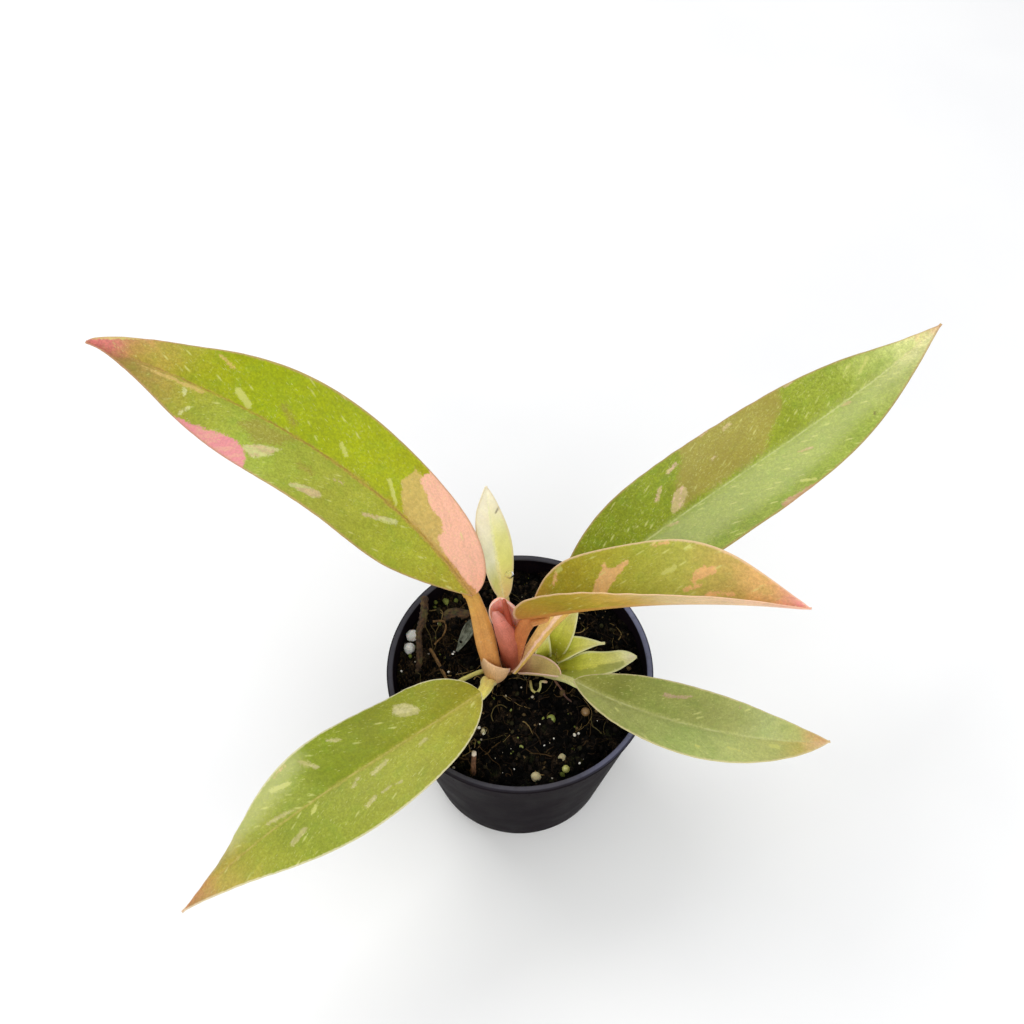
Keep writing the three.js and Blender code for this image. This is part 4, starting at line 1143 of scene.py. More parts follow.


# Colours along the left and right half of each blade, by share of its length, and of its midrib and edges.
# Flecks says how many small pale flecks there are, accent is the colour of the leaf's own odd marks, and the
# sheen share says how strongly a painted sheen shows on the patches marked for it.
LEAF_LOOKS = {
    "upper_left": {
        "left": [(0, "#a68c30"), (0.08, "#a09a2a"), (0.2, "#a3a830"), (0.4, "#a4a63c"), (0.6, "#98a63a"),
                 (0.76, "#9c9c30"), (0.88, "#9e8140"), (0.97, "#b4625a")],
        "right": [(0, "#c08a50"), (0.2, "#a88c20"), (0.28, "#a2a810"), (0.45, "#9ea800"), (0.62, "#98a400"),
                  (0.76, "#969a10"), (0.87, "#ae9440"), (0.97, "#c47068")],
        "midrib": [(0, "#c09058"), (0.25, "#b48c48"), (0.5, "#a88a3c"), (0.7, "#b0983c"), (0.9, "#b08a50"),
                   (1, "#c0705a")],
        "line": "#8d6430", "edge": "#bc9070", "under": "#b9a877", "flecks": 0.7, "pink": "#dc8c90",
        "sector": "#f0b79c", "veins": "#dcaa90", "cream": "#c6c684", "blush": "#cdb488", "accent": "#cbae64",
        "grain": 0.09, "painted_sheen": 0.3, "seed": 3,
    },
    "folded_right": {
        "left": [(0, "#b0802a"), (0.15, "#a0901e"), (0.3, "#a2982a"), (0.45, "#a4a43a"), (0.6, "#aeac4c"),
                 (0.75, "#c0a45a"), (0.86, "#d4a668"), (0.96, "#e2948a")],
        "right": [(0, "#bd843a"), (0.1, "#b38c30"), (0.2, "#a89024"), (0.3, "#b0982a"), (0.42, "#d2a84a"),
                  (0.54, "#dec080"), (0.7, "#e8c496"), (0.85, "#eebc98"), (0.96, "#ea9484")],
        "midrib": [(0, "#c27440"), (0.3, "#cc8c4c"), (0.55, "#dcb07c"), (0.8, "#f0cca4"), (1, "#eeb8a0")],
        "line": "#c98850", "edge": "#ecc4a8", "under": "#c9964c", "veil": 0.08, "flecks": 0.6,
        "pink": "#eeb09a",
        "sector": "#f4bf9f", "veins": "#d9b27c", "cream": "#cdc48c", "blush": "#d8b488", "accent": "#e2b078",
        "rim": 0.55, "grain": 0.07, "painted_sheen": 0.3, "seed": 5,
    },
    "upper_right": {
        # The pale stops near the tip are partly the tip's own colour and partly painted sheen.
        "left": [(0, "#857818"), (0.12, "#7c8610"), (0.3, "#84901c"), (0.6, "#8f9a2a"), (0.76, "#94a03a"),
                 (0.87, "#b2bc68"), (0.94, "#d6d690"), (0.98, "#e0b890"), (1, "#cc8c6c")],
        "right": [(0, "#857e24"), (0.15, "#828c2c"), (0.3, "#8a983a"), (0.5, "#94a242"), (0.75, "#98a646"),
                  (0.87, "#b4b870"), (0.95, "#e4dca0"), (0.99, "#e8c09c"), (1, "#d09474")],
        "midrib": [(0, "#a39a48"), (0.3, "#a0aa54"), (0.6, "#a8b45c"), (0.8, "#ccd08a"), (1, "#e4c4a0")],
        "line": "#c8cc8c", "edge": "#b08c64", "under": "#b3ad78", "olive": "#a88a4c", "flecks": 1,
        "pink": "#b8906c",
        "sector": "#f4bf9f", "veins": "#cdb088", "cream": "#c2b078", "blush": "#dcb8a0", "accent": "#5c4a2a",
        "grain": 0.1, "painted_sheen": 0.42, "seed": 7,
    },
    "pale_upright": {
        "left": [(0, "#ead88c"), (0.15, "#dcdc84"), (0.32, "#f0f0d2"), (0.7, "#eee6c8"), (1, "#fdf6dc")],
        "right": [(0, "#eed08a"), (0.15, "#e2d884"), (0.3, "#dede80"), (0.5, "#e8e898"), (0.66, "#eeecb4"),
                  (0.78, "#f0e8c6"), (1, "#fdf6dc")],
        "midrib": [(0, "#ecd88c"), (0.5, "#f0f0b0"), (1, "#fcf6dc")],
        "line": "#e8eab4", "edge": "#e0cfa8", "under": "#efecc4", "flecks": 0.1, "pink": "#e8ae98",
        "sector": "#f4b49c", "veins": "#ecd8b8", "cream": "#ecd8b8", "blush": "#ecd8b8", "accent": "#54403a",
        "ragged": 0.1, "grain": 0.02, "painted_sheen": 0, "seed": 9,
    },
    "lower_left": {
        "left": [(0, "#988e30"), (0.15, "#9c9c34"), (0.3, "#979a34"), (0.45, "#919634"), (0.6, "#8a942e"),
                 (0.75, "#989a34"), (0.87, "#b09c48"), (0.97, "#b87c58")],
        "right": [(0, "#8a8420"), (0.15, "#86881e"), (0.45, "#7e8a1e"), (0.6, "#90993c"), (0.75, "#96993a"),
                  (0.87, "#b09444"), (0.97, "#bd7c58")],
        "midrib": [(0, "#a59a3c"), (0.3, "#a3983c"), (0.7, "#a0983c"), (1, "#bc805a")],
        "line": "#b8a860", "edge": "#e6dcbc", "under": "#b0a86c", "flecks": 0.6, "pink": "#d9c090",
        "sector": "#f4bf9f", "veins": "#cdb088", "cream": "#b2ac6c", "blush": "#c4bc88", "accent": "#cfa878",
        "rim": 0.4, "grain": 0.07, "painted_sheen": 0.6, "seed": 11,
    },
    "lower_right": {
        "left": [(0, "#8b8c3c"), (0.15, "#83883c"), (0.3, "#8a9248"), (0.45, "#969c54"), (0.6, "#a2a660"),
                 (0.75, "#aeb674"), (0.87, "#b2b46a"), (0.97, "#c89c68")],
        "right": [(0, "#9a9c58"), (0.3, "#9ca45c"), (0.45, "#9eac60"), (0.6, "#aeb66e"), (0.75, "#b6b86e"),
                  (0.87, "#bcac60"), (0.97, "#dcb488")],
        "midrib": [(0, "#a0a05a"), (0.4, "#adb068"), (0.8, "#c4c87c"), (1, "#c9a070")],
        "line": "#c0c488", "edge": "#d8c89c", "under": "#a5a370", "flecks": 0.75, "pink": "#e0b49a",
        "sector": "#f4bf9f", "veins": "#cdb088", "cream": "#b09c78", "blush": "#bc9c84", "accent": "#c9a070",
        "rim": 0.4, "grain": 0.06, "painted_sheen": 0.3, "seed": 13,
    },
}
LIME, OLIVE, OLIVE_GOLD, PALE_FLECK = "#cccc72", "#957c3a", "#d0b878", "#d6d684"
# The pale tint of the painted sheen, a whitish haze where a blade catches the light.
COOL_GREEN, PAINTED_SHEEN_TINT, FOOT_PINK, STREAK_SHADE = "#6f9a2c", "#dfe0a6", "#f2ab8c", "#93863c"

# Stalks, stems, roots and sheaths: a ramp from foot to tip and the colour of the edge. Around lists the tints
# of some sides: a colour, where round the stalk its step starts and ends, and its strength.
# Shadow is the colour of painted shade, laid where a blade's olive mark lies.
TISSUE_LOOKS = {
    "golden stalk": {
        "stops": [(0, "#c8864a"), (0.3, "#cc984c"), (0.6, "#c2a444"), (1, "#c4b458")], "edge": "#e8c9a0",
        "around": [("#f2d0b4", 0.86, 0.97, 0.8), ("#c08444", 0.25, 0.05, 0.4)],
    },
    "orange stalk": {
        "stops": [(0, "#9a5434"), (0.4, "#c07040"), (0.8, "#c68048"), (1, "#c88a48")], "edge": "#d9a07c",
        "around": [("#e0a484", 0.9, 1.0, 0.5)],
    },
    "yellow stalk": {
        "stops": [(0, "#c8986c"), (0.3, "#d8b464"), (0.6, "#dfbe5c"), (1, "#cba83c")], "edge": "#efd0b4",
        "around": [("#ecc8ac", 0.5, 0.57, 0.8), ("#d4b050", 0.66, 0.74, 0.9), ("#f2cdb8", 0.94, 1.0, 0.6)],
    },
    "cream stalk": {"stops": [(0, "#d6c890"), (0.6, "#d3c27c"), (1, "#d2ba76")], "edge": "#e0d2a4"},
    "lime stalk": {
        "stops": [(0, "#dcc878"), (0.4, "#dcd468"), (1, "#ccc45c")], "edge": "#d8d2a0",
        "around": [("#ece6b0", 0.84, 0.96, 0.6), ("#ece6b0", 0.16, 0.04, 0.6)],
    },
    "thin pale stalk": {"stops": [(0, "#c3bd80"), (0.5, "#c9cc86"), (1, "#b0b26a")], "edge": "#d8d2a0"},
    "pale stalk": {"stops": [(0, "#c9c070"), (0.6, "#c0b866"), (1, "#cfc98a")], "edge": "#d8d2a0"},
    "pink beige sheath": {
        "stops": [(0, "#dca090"), (0.25, "#dcae78"), (0.6, "#dcb07c"), (1, "#e0b88c")], "edge": "#f0ccc4",
        "around": [("#e8b0a4", 0.75, 1.0, 0.7)],
    },
    "olive beige sheath": {"stops": [(0, "#c89070"), (0.4, "#c8b074"), (1, "#c2b870")], "edge": "#dcb8a8"},
    "dusty red sheath": {
        "stops": [(0, "#7c3a26"), (0.25, "#8e442e"), (0.55, "#bc6a54"), (0.85, "#d27e6c"), (1, "#dc9486")],
        "edge": "#d08c7c", "speckles": "#a85848",
    },
    "pale pink sheath": {
        "stops": [(0, "#f0b0a0"), (0.5, "#ffbcb0"), (1, "#fcac9e")], "edge": "#f4b8aa", "glow": 0.8,
    },
    "dark red spear": {
        "stops": [(0, "#7c2c1c"), (0.5, "#983a26"), (0.8, "#a84a34"), (1, "#b05a44")], "edge": "#a84a3a",
        "speckles": "#b05a40",
    },
    "pale lime leaf": {
        "stops": [(0, "#b8b048"), (0.12, "#a8a828"), (0.35, "#c4c644"), (0.6, "#d6d464"), (0.85, "#dcd98c"),
                  (1, "#eadfc4")],
        "edge": "#e2dfa4", "speckles": "#e4e6a8", "shadow": "#7c8638",
    },
    "young stem": {"stops": [(0, "#c9c070"), (0.7, "#b0ac4c"), (1, "#96962c")], "edge": "#a8a840"},
    "crown stem": {"stops": [(0, "#c9c070"), (0.6, "#a88a50"), (1, "#6e4028")], "edge": "#8a5a3c"},
    "green root": {
        "stops": [(0, "#8f7f50"), (0.3, "#b4b068"), (0.8, "#c4c080"), (1, "#c8a48c")], "edge": "#c0bc7c",
    },
    "pinkish root": {"stops": [(0, "#7c5c4c"), (0.6, "#60443a"), (1, "#4c362e")], "edge": "#6c5044"},
}

# Dry plant matter: its dark and light colours, and the moss or the pale end that it may have
BARK_LOOKS = {
    "brown bark": {"dark": "#1c1510", "light": "#5f452c", "moss": 0.3},
    "golden brown strand": {"dark": "#4a3520", "light": "#8f6c3c"},
    "cut twig": {"dark": "#4a3020", "light": "#8a6244", "pale_end": "#d9cbb4"},
    "withered leaf": {"dark": "#3c4030", "light": "#8b9080"},
}

# Loose matter on the soil, by its own random number
CRUMB_LOOKS = {
    "peat crumbs": [(0, "#020201"), (0.45, "#060504"), (0.65, "#15100c"), (0.8, "#241b13"), (0.9, "#2a2917"),
                    (1, "#665236")],
    "pale specks": [(0, "#8f876f"), (0.4, "#c9c2ac"), (1, "#f0ede2")],
    "moss bits": [(0, "#4a5220"), (0.5, "#6b7434"), (1, "#949c58")],
    "root fibres": [(0, "#17110b"), (0.4, "#32251a"), (0.7, "#4e3b22"), (0.85, "#564e2e"), (1, "#9a7f50")],
}

# Sticks: look, roughness in mm, and size of the knobs in mm
STICK_LOOKS = {
    "old_stalk": ("pale stalk", 0.08, 4), "root_hook": ("green root", 0.06, 1.5),
    "root_pink": ("pinkish root", 0.07, 1.5), "old_stem": ("brown bark", 0.45, 1.1),
    "cut_twig": ("cut twig", 0.08, 1.5), "strand_long": ("golden brown strand", 0.08, 1.2),
    "strand_loop": ("golden brown strand", 0.06, 1.2),
}

# Grains: the body of perlite and the painted shade in its pores, and the body, shade and spots of a
# fertiliser prill
PERLITE_LOOKS = {
    "perlite grain": ("#f2f0e8", "#b9b4a4"),
    "stained perlite": ("#c4b88c", "#8f8258"),
}
PRILL_LOOKS = {
    "prill_green": ("green prill", "#8f9a44", "#6f7a34", "#c3c98a"),
    "prill_tan": ("tan prill", "#86683e", "#664a2c", "#a88c5c"),
    "prill_yellow": ("yellow prill", "#b0b060", "#8a8a44", "#dcdca8"),
}


def leaf_material(name):
    """A variegated blade: ramps along both halves, fine mottling, flecks along the veins, patches, and a
    painted sheen.
    """
    look = LEAF_LOOKS[name]
    g = Graph(f"leaf {name.replace('_', ' ')}")
    s, _, under = g.field("share")
    along, sideways, to_edge = g.field("place")
    away = g.math("ABSOLUTE", sideways)
    vein = vein_line(along, away)
    seed = look["seed"] * 10.0
    flat = g.vector(along + seed, sideways, seed)
    patchy = g.noise(g.vector(vein + seed, sideways * 0.6, seed), 0.45, 4)
    fine = g.noise(flat, 1.2, 4, 0.65)
    blobs = g.noise(flat, 0.13, 3)
    grain = g.clouds(flat, 2.0, 0.38, 0.62, 3, 0.6)
    mottle = g.clouds(flat, 0.9, 0.36, 0.64, 4, 0.7)

    on_right = g.step(sideways + (fine - 0.5) * 1.2, -0.5, 0.5)
    at = s + (blobs - 0.5) * 0.14 + (patchy - 0.5) * 0.04
    colour = g.mix(g.ramp(at, look["left"]), g.ramp(at, look["right"]), on_right)
    for field, by in ((blobs, 0.14), (patchy, 0.08), (grain, look["grain"]), (mottle, look["grain"] * 0.8)):
        colour = g.shade(colour, field, by)
    cool = g.clouds(flat, 0.3, 0.45, 0.75, 2)
    colour = g.mix(colour, g.mix(colour, COOL_GREEN, 0.35), cool * look["grain"] * 6)

    between = g.math("PINGPONG", vein + (blobs - 0.5) * 1.5, 1.6)
    lateral = g.step(between, 0.16, 0.0) * g.step(away, 0.4, 1.5) * g.step(to_edge, 0.2, 2.5)
    colour = g.mix(colour, g.shade(colour, 1.0, 0.1), lateral * 0.3)

    cream, pink, olive = g.field("marks")
    lime, accent, painted_sheen = g.field("marks2")
    ragged = (patchy - 0.5) * 1.6 + (fine - 0.5) * 2.0 + (grain - 0.5) * 0.35

    def patch(base, field, tint, soft, share, raggedness):
        return g.mix(base, tint, g.step(field + ragged * raggedness, soft, -soft) * share)

    golden = g.clouds(flat, 1.7, 0.54, 0.66, 3, 0.7)
    olive_tint = g.shade(g.mix(look.get("olive", OLIVE), OLIVE_GOLD, golden * 0.6), patchy, 0.1)
    colour = patch(colour, olive, olive_tint, 0.9, 0.5, 1.3)
    colour = patch(colour, lime, g.shade(LIME, fine, 0.12), 0.2, 0.7, 0.6)
    accent_tint = g.shade(g.shade(look["accent"], fine, 0.16), mottle, look["grain"])
    colour = patch(colour, accent, accent_tint, 0.25, 0.85, look.get("ragged", 0.7))
    # Painted sheen: a pale whitish haze over the marked patches where the blade catches the light.
    painted_sheen_share = g.step(painted_sheen + ragged * 1.5, 2.5, -2.0) * look["painted_sheen"]
    colour = g.mix(colour, g.mix(colour, PAINTED_SHEEN_TINT, 0.5), painted_sheen_share)
    pink_tint = g.mix(look["pink"], look["sector"], g.step(s, 0.35, 0.3))
    pink_tint = g.mix(pink_tint, FOOT_PINK, g.step(s, 0.07, 0.0) * 0.6)
    veined = g.step(patchy + (fine - 0.5) * 0.5, 0.5, 0.62)
    pink_tint = g.shade(g.mix(pink_tint, look["veins"], veined * 0.45), grain, 0.05)
    colour = patch(colour, pink, pink_tint, 0.3, 0.97, 0.8)
    blushed = g.step(patchy + (fine - 0.5) * 0.6, 0.44, 0.6)
    cream_tint = g.shade(g.mix(look["cream"], look["blush"], blushed), mottle, 0.1)
    colour = patch(colour, cream, STREAK_SHADE, 0.6, 0.3, 0.7)
    colour = patch(colour, cream, cream_tint, 0.25, 0.85, 0.7)

    flecks = look["flecks"]
    spot, luck, _ = g.cells(g.vector(vein * 0.75 + seed, sideways * 0.8, seed), 0.62)
    chosen = g.step(luck, 1 - 0.4 * flecks, 1.03 - 0.4 * flecks)
    colour = g.mix(colour, PALE_FLECK, g.step(spot + (fine - 0.5) * 0.4, 0.3, 0.08) * chosen * 0.5)
    bent = vein + (fine - 0.5) * 1.6
    dash, luck, _ = g.cells(g.vector(bent * 1.1 + seed, sideways * 1.1, seed), 1.25)
    chosen = g.step(luck, 1 - 0.5 * flecks, 1.02 - 0.5 * flecks)
    colour = g.mix(colour, PALE_FLECK, g.step(dash + (grain - 0.5) * 0.15, 0.3, 0.1) * chosen * 0.4)
    dot, luck, _ = g.cells(g.vector(along, sideways, seed), 1.1)
    dotted = g.step(dot + (grain - 0.5) * 0.2, 0.34, 0.12) * g.step(luck, 0.76, 0.8)
    colour = g.mix(colour, PALE_FLECK, dotted * 0.2 * flecks)
    speckle = g.clouds(flat, 1.5, 0.54, 0.68, 3, 0.7) * g.step(blobs, 0.4, 0.6)
    colour = g.mix(colour, PALE_FLECK, speckle * 0.3 * flecks)

    wobble = (fine - 0.5) * 1.5 + (patchy - 0.5) * 0.8
    side = g.step(sideways, 0.15, -0.15, (0.55, 1.0))
    band = g.step(away + wobble, s * -0.9 + 1.1, s * -0.4 + 0.3)
    rib = g.ramp(s, look["midrib"])
    colour = g.mix(colour, g.shade(rib, grain, 0.12), band * side * 0.6)
    line = g.step(away + wobble * 0.35, 0.3, 0.05) * g.step(s, 1.0, 0.75)
    colour = g.mix(colour, look["line"], line * g.step(patchy, 0.4, 0.6, (0.1, 0.6)))
    rim = g.step(to_edge + (fine - 0.5) * 0.6, look.get("rim", 0.5), 0.1)
    colour = g.mix(colour, look["edge"], rim * 0.6)

    back = g.shade(g.mix(colour, look["under"], look.get("veil", 0.6)), lateral, 0.06)
    back = g.mix(back, g.shade(rib, fine, 0.06), g.step(away, 1.8, 0.9) * 0.6)
    colour = g.mix(colour, back, g.step(under, 0.55, 0.95))

    relief = patchy * 0.15 + fine * 0.3 + grain * 0.3 - lateral * 0.2
    return g.finish(colour, g.step(patchy, 0.2, 0.8, (0.36, 0.5)), relief, 0.08, Subsurface_Weight=0.1,
                    Subsurface_Radius=(0.8, 0.9, 0.2), Subsurface_Scale=0.001, Specular_IOR_Level=0.16)


def tissue_material(name):
    """A stalk, root or sheath: a ramp and fine fibres along it, other colours on some of its sides, and
    painted shade where a look has a shadow colour.
    """
    look = TISSUE_LOOKS[name]
    g = Graph(name)
    s, u, _ = g.field("share")
    along, sideways, to_edge = g.field("place")
    fibres = g.noise(g.vector(along * 0.25, sideways * 4, 0.0), 1.3, 3)
    blobs = g.noise(g.vector(along, sideways, 3.0), 0.5, 3)
    colour = g.ramp(s + (blobs - 0.5) * 0.15, look["stops"])
    turn = g.math("ABSOLUTE", u) + (blobs - 0.5) * 0.2
    for tint, low, high, share in look.get("around", ()):
        colour = g.mix(colour, tint, g.step(turn, low, high) * share)
    # Painted shade on the half of a blade turned away from the light, where its olive mark lies
    if "shadow" in look:
        shaded = g.step(g.field("marks")[2] + (blobs - 0.5) * 1.5, 0.3, -0.3)
        colour = g.mix(colour, look["shadow"], shaded * 0.6)
    grain = g.clouds(g.vector(along, sideways * 1.5, 5.0), 2.2, 0.36, 0.64, 4, 0.7)
    for field, by in ((g.step(fibres, 0.35, 0.65), 0.045), (blobs, 0.14), (grain, 0.07)):
        colour = g.shade(colour, field, by)
    spot, luck, _ = g.cells(g.vector(along, sideways, 0.0), 1.2)
    speckled = g.step(spot, 0.3, 0.1) * g.step(luck, 0.7, 0.75)
    colour = g.mix(colour, look.get("speckles", "#c9a070"), speckled * 0.5)
    colour = g.mix(colour, look["edge"], g.step(to_edge, 0.5, 0.15) * 0.85)
    relief = fibres * 0.6 + grain * 0.3 + blobs * 0.4
    return g.finish(colour, g.step(blobs, 0.2, 0.8, (0.4, 0.55)), relief, 0.1,
                    Subsurface_Weight=look.get("glow", 0.15), Subsurface_Radius=(1.0, 0.7, 0.4),
                    Subsurface_Scale=0.0015, Specular_IOR_Level=0.2)


def bark_material(name):
    """Dry plant matter: long fibres, dark hollows and, for a cut stick, a pale end."""
    look = BARK_LOOKS[name]
    g = Graph(name)
    s = g.field("share")[0]
    along, sideways, _ = g.field("place")
    at = g.place()
    fibres = g.noise(g.vector(along * 0.5, sideways * 3, 1.0), 1.6, 4)
    lumps = g.noise(at, 1.1, 4)
    colour = g.mix(look["dark"], look["light"], g.step(fibres * 0.6 + lumps * 0.5, 0.35, 0.75))
    if "moss" in look:
        colour = g.mix(colour, "#5f6430", g.clouds(at, 0.45, 0.5, 0.62, 2) * look["moss"])
    if "pale_end" in look:
        colour = g.mix(colour, look["pale_end"], g.step(s + (lumps - 0.5) * 0.06, 0.9, 0.96))
    return g.finish(colour, g.step(lumps, 0.2, 0.8, (0.65, 0.9)), fibres + lumps, 0.35,
                    Specular_IOR_Level=0.3)


def soil_material():
    """Damp peat: each crumb darker or paler, brown fibres on the left, some moss and loose threads."""
    g = Graph("damp peat")
    coarse, middle, fine = g.field("tint")
    at = g.place()
    x, y, _ = g.parts(at)
    dust = g.noise(at, 2.6, 5, 0.65)
    spots = g.noise(at, 0.35, 3)
    sharp = g.step(dust, 0.36, 0.64)
    fibrous = g.step(x + spots * 8.0, -4.0, -14.0)
    colour = g.ramp(middle * 0.5 + coarse * 0.25 + sharp * 0.3, [
        (0.2, "#010101"), (0.45, "#030302"), (0.65, "#0a0806"), (0.8, "#1c150f"), (0.92, "#33281c"),
        (1, "#4c3c28"),
    ])
    colour = g.mix(colour, "#6a5636", g.step(fine, 0.95, 0.98) * sharp * 0.6)
    strands = g.clouds(g.vector(x * 2.2, y * 0.6, 0.0), 1.6, 0.5, 0.66, 4)
    colour = g.mix(colour, "#4a3820", strands * fibrous * 0.7)
    colour = g.mix(colour, "#2a2e14", g.step(spots, 0.56, 0.66) * g.step(coarse, 0.45, 0.6) * sharp * 0.7)
    thread = g.cells(g.vector(g.noise(at, 0.5, 2) * 9.0, dust * 3.0, 0.0), 2.4)[0]
    colour = g.mix(colour, "#54402a", g.step(thread, 0.1, 0.02) * 0.35)
    roughness = 0.9 - g.clouds(at, 0.7, 0.52, 0.6) * sharp * 0.65
    return g.finish(colour, roughness, dust + g.noise(at, 9, 3) * 0.4, 0.5, Specular_IOR_Level=0.07)


def crumb_material(name, rough=0.85):
    """Loose crumbs, each coloured by its own random number."""
    g = Graph(name)
    tint, other, _ = g.field("tint")
    dust = g.noise(g.place(), 3, 4, 0.65)
    colour = g.shade(g.shade(g.ramp(tint, CRUMB_LOOKS[name]), dust, 0.4), other, 0.2)
    roughness = g.step(dust, 0.3, 0.7, (rough - 0.15, rough))
    return g.finish(colour, roughness, dust, 0.3, Specular_IOR_Level=0.08)


def pot_material():
    """Thin dark plastic: mould flow, fine scratches, a painted highlight along the top of the lip, paler on
    the right side and towards its inner edge, and a little dried soil near the mouth.
    """
    g = Graph("nursery pot plastic")
    at = g.place()
    x, y, z = g.parts(at)
    cloud = g.noise(at, 0.12, 4)
    flow = g.noise(g.vector(x * 0.6, y * 0.6, z * 0.1), 1.0, 3)
    grit = g.noise(at, 4, 3)
    colour = g.mix("#0f0a0e", "#161015", g.step(cloud, 0.3, 0.7))
    colour = g.mix(colour, "#1b141c", g.step(flow, 0.55, 0.75) * 0.3)
    # Painted highlight: the top of the lip is made pale grey, paler on the right side and towards its inner
    # edge.
    lip = g.step(z, POT_HEIGHT - 0.5, POT_HEIGHT - 0.15)
    lip_highlight = g.mix("#48474d", "#747690", g.step(x, 8.0, 26.0))
    out = g.math("SQRT", x * x + y * y)
    inner = g.step(out, POT_TOP_RADIUS - 0.15, POT_TOP_RADIUS - 0.5, (0.25, 1.0))
    colour = g.mix(colour, lip_highlight, lip * inner * g.step(flow, 0.2, 0.6, (0.75, 0.95)))
    scratch = g.cells(g.vector(x * 0.25, y * 0.25, z * 3), 1.2)[0]
    colour = g.mix(colour, "#241f28", g.step(scratch, 0.08, 0.02) * 0.25)
    dirt = g.clouds(at, 0.8, 0.6, 0.74, 4) * g.step(z, POT_HEIGHT - 12, POT_HEIGHT - 2)
    colour = g.mix(colour, "#2f2419", dirt * g.step(grit, 0.4, 0.6) * 0.5)
    roughness = g.step(cloud, 0.25, 0.75, (0.38, 0.5)) + dirt * 0.3
    return g.finish(colour, roughness, flow * 0.6 + grit * 0.3, 0.04, Specular_IOR_Level=0.006)


def perlite_material(name):
    """A pitted mineral grain: painted shade in its pores, and dust over it."""
    base, shadow = PERLITE_LOOKS[name]
    g = Graph(name)
    at = g.place()
    pores = g.cells(at, 4.5)[0]
    dust = g.noise(at, 1.8, 4)
    # Painted shade: the grain is darker in its pores.
    colour = g.mix(shadow, base, g.step(pores + (dust - 0.5) * 0.3, 0.05, 0.35))
    colour = g.mix(colour, "#8f7f62", g.step(dust, 0.58, 0.75) * 0.6)
    return g.finish(colour, g.step(dust, 0.3, 0.7, (0.75, 0.95)), pores + dust * 0.5, 0.3,
                    Subsurface_Weight=0.1, Subsurface_Scale=0.001)


def prill_material(name, body, shade, spot):
    """A coated fertiliser prill: a cloudy, slightly glossy skin with small spots."""
    g = Graph(name)
    at = g.place()
    cloud = g.noise(at, 1.1, 3)
    grit = g.noise(at, 6, 3)
    colour = g.mix(shade, body, g.step(cloud, 0.3, 0.65))
    colour = g.mix(colour, spot, g.step(grit, 0.6, 0.72) * 0.6)
    return g.finish(colour, g.step(cloud, 0.2, 0.8, (0.3, 0.5)), cloud + grit * 0.3, 0.12, Coat_Weight=0.2)


def water_material():
    g = Graph("water drop")
    return g.finish("#ffffff", 0.02, g.noise(g.place(), 0.8, 1), 0.01, Transmission_Weight=1.0, IOR=1.33)


def floor_material():
    g = Graph("pale floor")
    colour = g.mix("#f3f3f3", "#f7f7f6", g.clouds(g.place(), 0.01, 0.3, 0.7))
    return g.finish(colour, 0.9, 0.0, 0.1, Specular_IOR_Level=0.1)


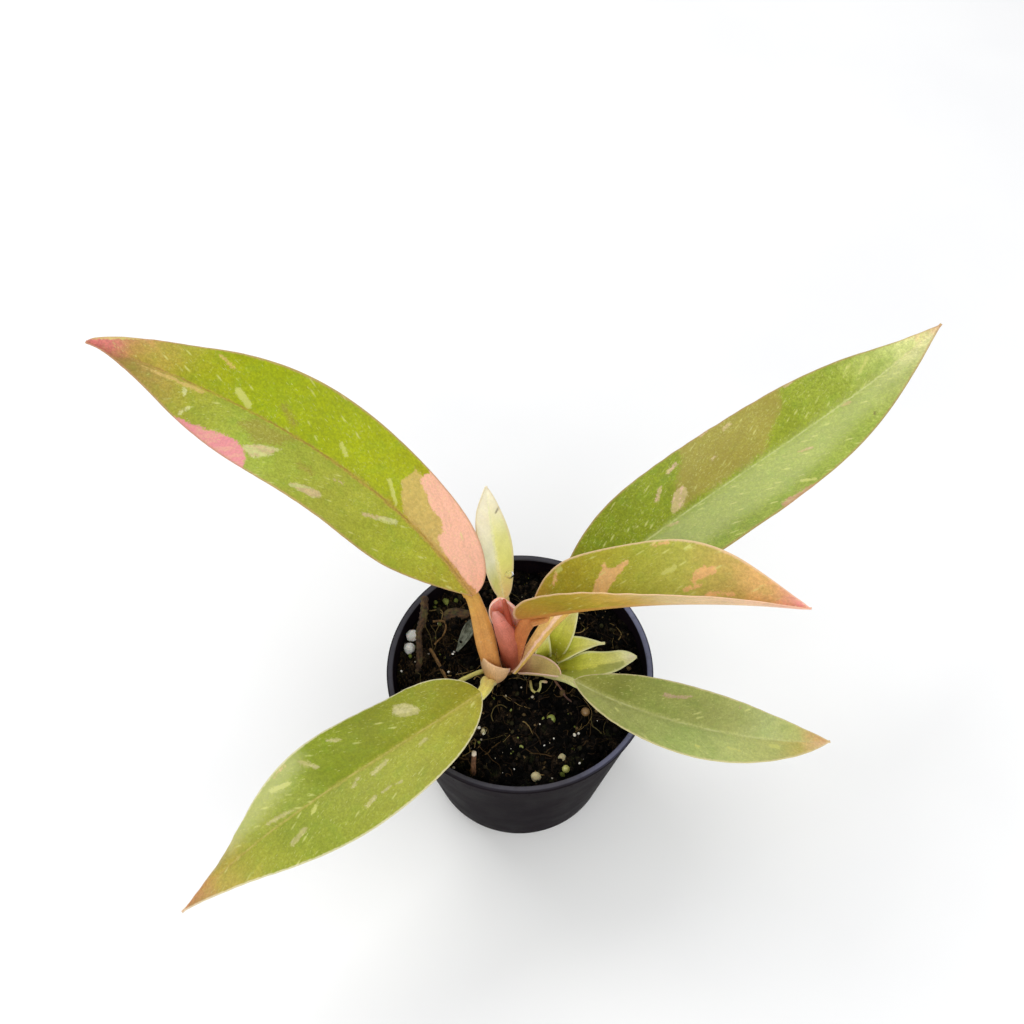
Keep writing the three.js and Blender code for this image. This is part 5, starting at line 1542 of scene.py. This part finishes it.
def build_object():
    """Every piece of the pot and the plant."""
    tissue = {name: tissue_material(name) for name in TISSUE_LOOKS}
    bark = {name: bark_material(name) for name in BARK_LOOKS}
    dry = {name: crumb_material(name) for name in ("peat crumbs", "moss bits", "root fibres")}
    dry["pale specks"] = crumb_material("pale specks", 0.9)
    perlite = {name: perlite_material(name) for name in PERLITE_LOOKS}

    for name, leaf in LEAVES.items():
        leaf_piece(name, [leaf_material(name), *[tissue[look] for look in leaf["looks"]]])
    blade_piece("spear_front", CROWN_SHEATHS["spear_front"], tissue["dusty red sheath"], 71)
    blade_piece("spear_back", CROWN_SHEATHS["spear_back"], tissue["pale pink sheath"], 73)
    stick_piece("spear_inner", STICKS["spear_inner"], tissue["dark red spear"], 0.05, 3, 75)
    for k, (name, blade) in enumerate(OFFSET_LEAVES.items()):
        blade_piece(name, blade, tissue["pale lime leaf"], 81 + 3 * k, rib=0.5)
    stick_piece("offset_stem", OFFSET_STEM, tissue["young stem"], 0.12, 3, 95, *STEM_MESH)
    stick_piece("stem", STEM, tissue["crown stem"], 0.12, 3, 97, *STEM_MESH)
    for k, (name, (look, roughness, size)) in enumerate(STICK_LOOKS.items()):
        stick_piece(name, STICKS[name], {**tissue, **bark}[look], roughness, size, 101 + 5 * k)
    blade_piece("scrap_leaf", SCRAPS["scrap_leaf"], bark["withered leaf"], 141, 0.3, 0.1, 0.8, 60, 20)
    blade_piece("scrap_bark", SCRAPS["scrap_bark"], bark["brown bark"], 145, 0.4, 0.1, 1.5, 60, 24)

    for k, (name, grain) in enumerate(GRAINS.items()):
        seed = 161 + 4 * k
        if name in PRILL_LOOKS:
            grain_piece(name, grain, prill_material(*PRILL_LOOKS[name]), 0.04, seed)
        else:
            look = "perlite grain" if name.startswith("perlite_left") else "stained perlite"
            grain_piece(name, grain, perlite[look], 0.16, seed, 0.12)
    soil_piece(soil_material())
    crumbs_piece("soil_crumbs", dry["peat crumbs"], "peat", 1500, (0.15, 0.7), 201)
    crumbs_piece("pale_specks", dry["pale specks"], "perlite", 70, (0.08, 0.24), 207, SPECKS)
    crumbs_piece("moss_bits", dry["moss bits"], "peat", 60, (0.15, 0.5), 211, MOSS)
    fibres_piece(dry["root fibres"], 340, (2, 12), (0.05, 0.18), 221)
    pot_piece(pot_material())
    droplet_piece(water_material())


def build_stage():
    """A pale floor, soft lamps, and the camera at the photograph's viewing angle."""
    bpy.ops.mesh.primitive_plane_add(size=FLOOR_SIZE)
    floor = bpy.context.object
    floor.name = "floor"
    floor.data.materials.append(floor_material())

    scene = bpy.context.scene
    scene.view_settings.view_transform = "Standard"
    world = bpy.data.worlds.new("studio")
    world.use_nodes = True
    sky = world.node_tree.nodes["Background"]
    sky.inputs["Color"].default_value = linear("#fbfcff")
    sky.inputs["Strength"].default_value = WORLD_STRENGTH
    scene.world = world

    def stand(name, data, place):
        """An object in the scene, with its place in mm."""
        made = bpy.data.objects.new(name, data)
        made.location = Vector(place) * MM
        bpy.context.collection.objects.link(made)
        return made

    for name, (place, size, power) in LAMPS.items():
        lamp = bpy.data.lights.new(name, "AREA")
        lamp.size, lamp.energy = size * MM, power
        holder = stand(name, lamp, place)
        aim = Vector(LAMP_AIM) * MM - holder.location
        holder.rotation_euler = aim.to_track_quat("-Z", "Y").to_euler()
    camera = bpy.data.cameras.new("camera")
    camera.lens, camera.sensor_width = CAMERA_LENS, CAMERA_SENSOR
    camera.clip_start, camera.clip_end = 0.01, 20
    scene.camera = stand("camera", camera, CAMERA_PLACE)
    scene.camera.rotation_euler = (math.radians(90 - CAMERA_ELEVATION), 0, 0)


build_stage()
build_object()
bpy.context.view_layer.update()
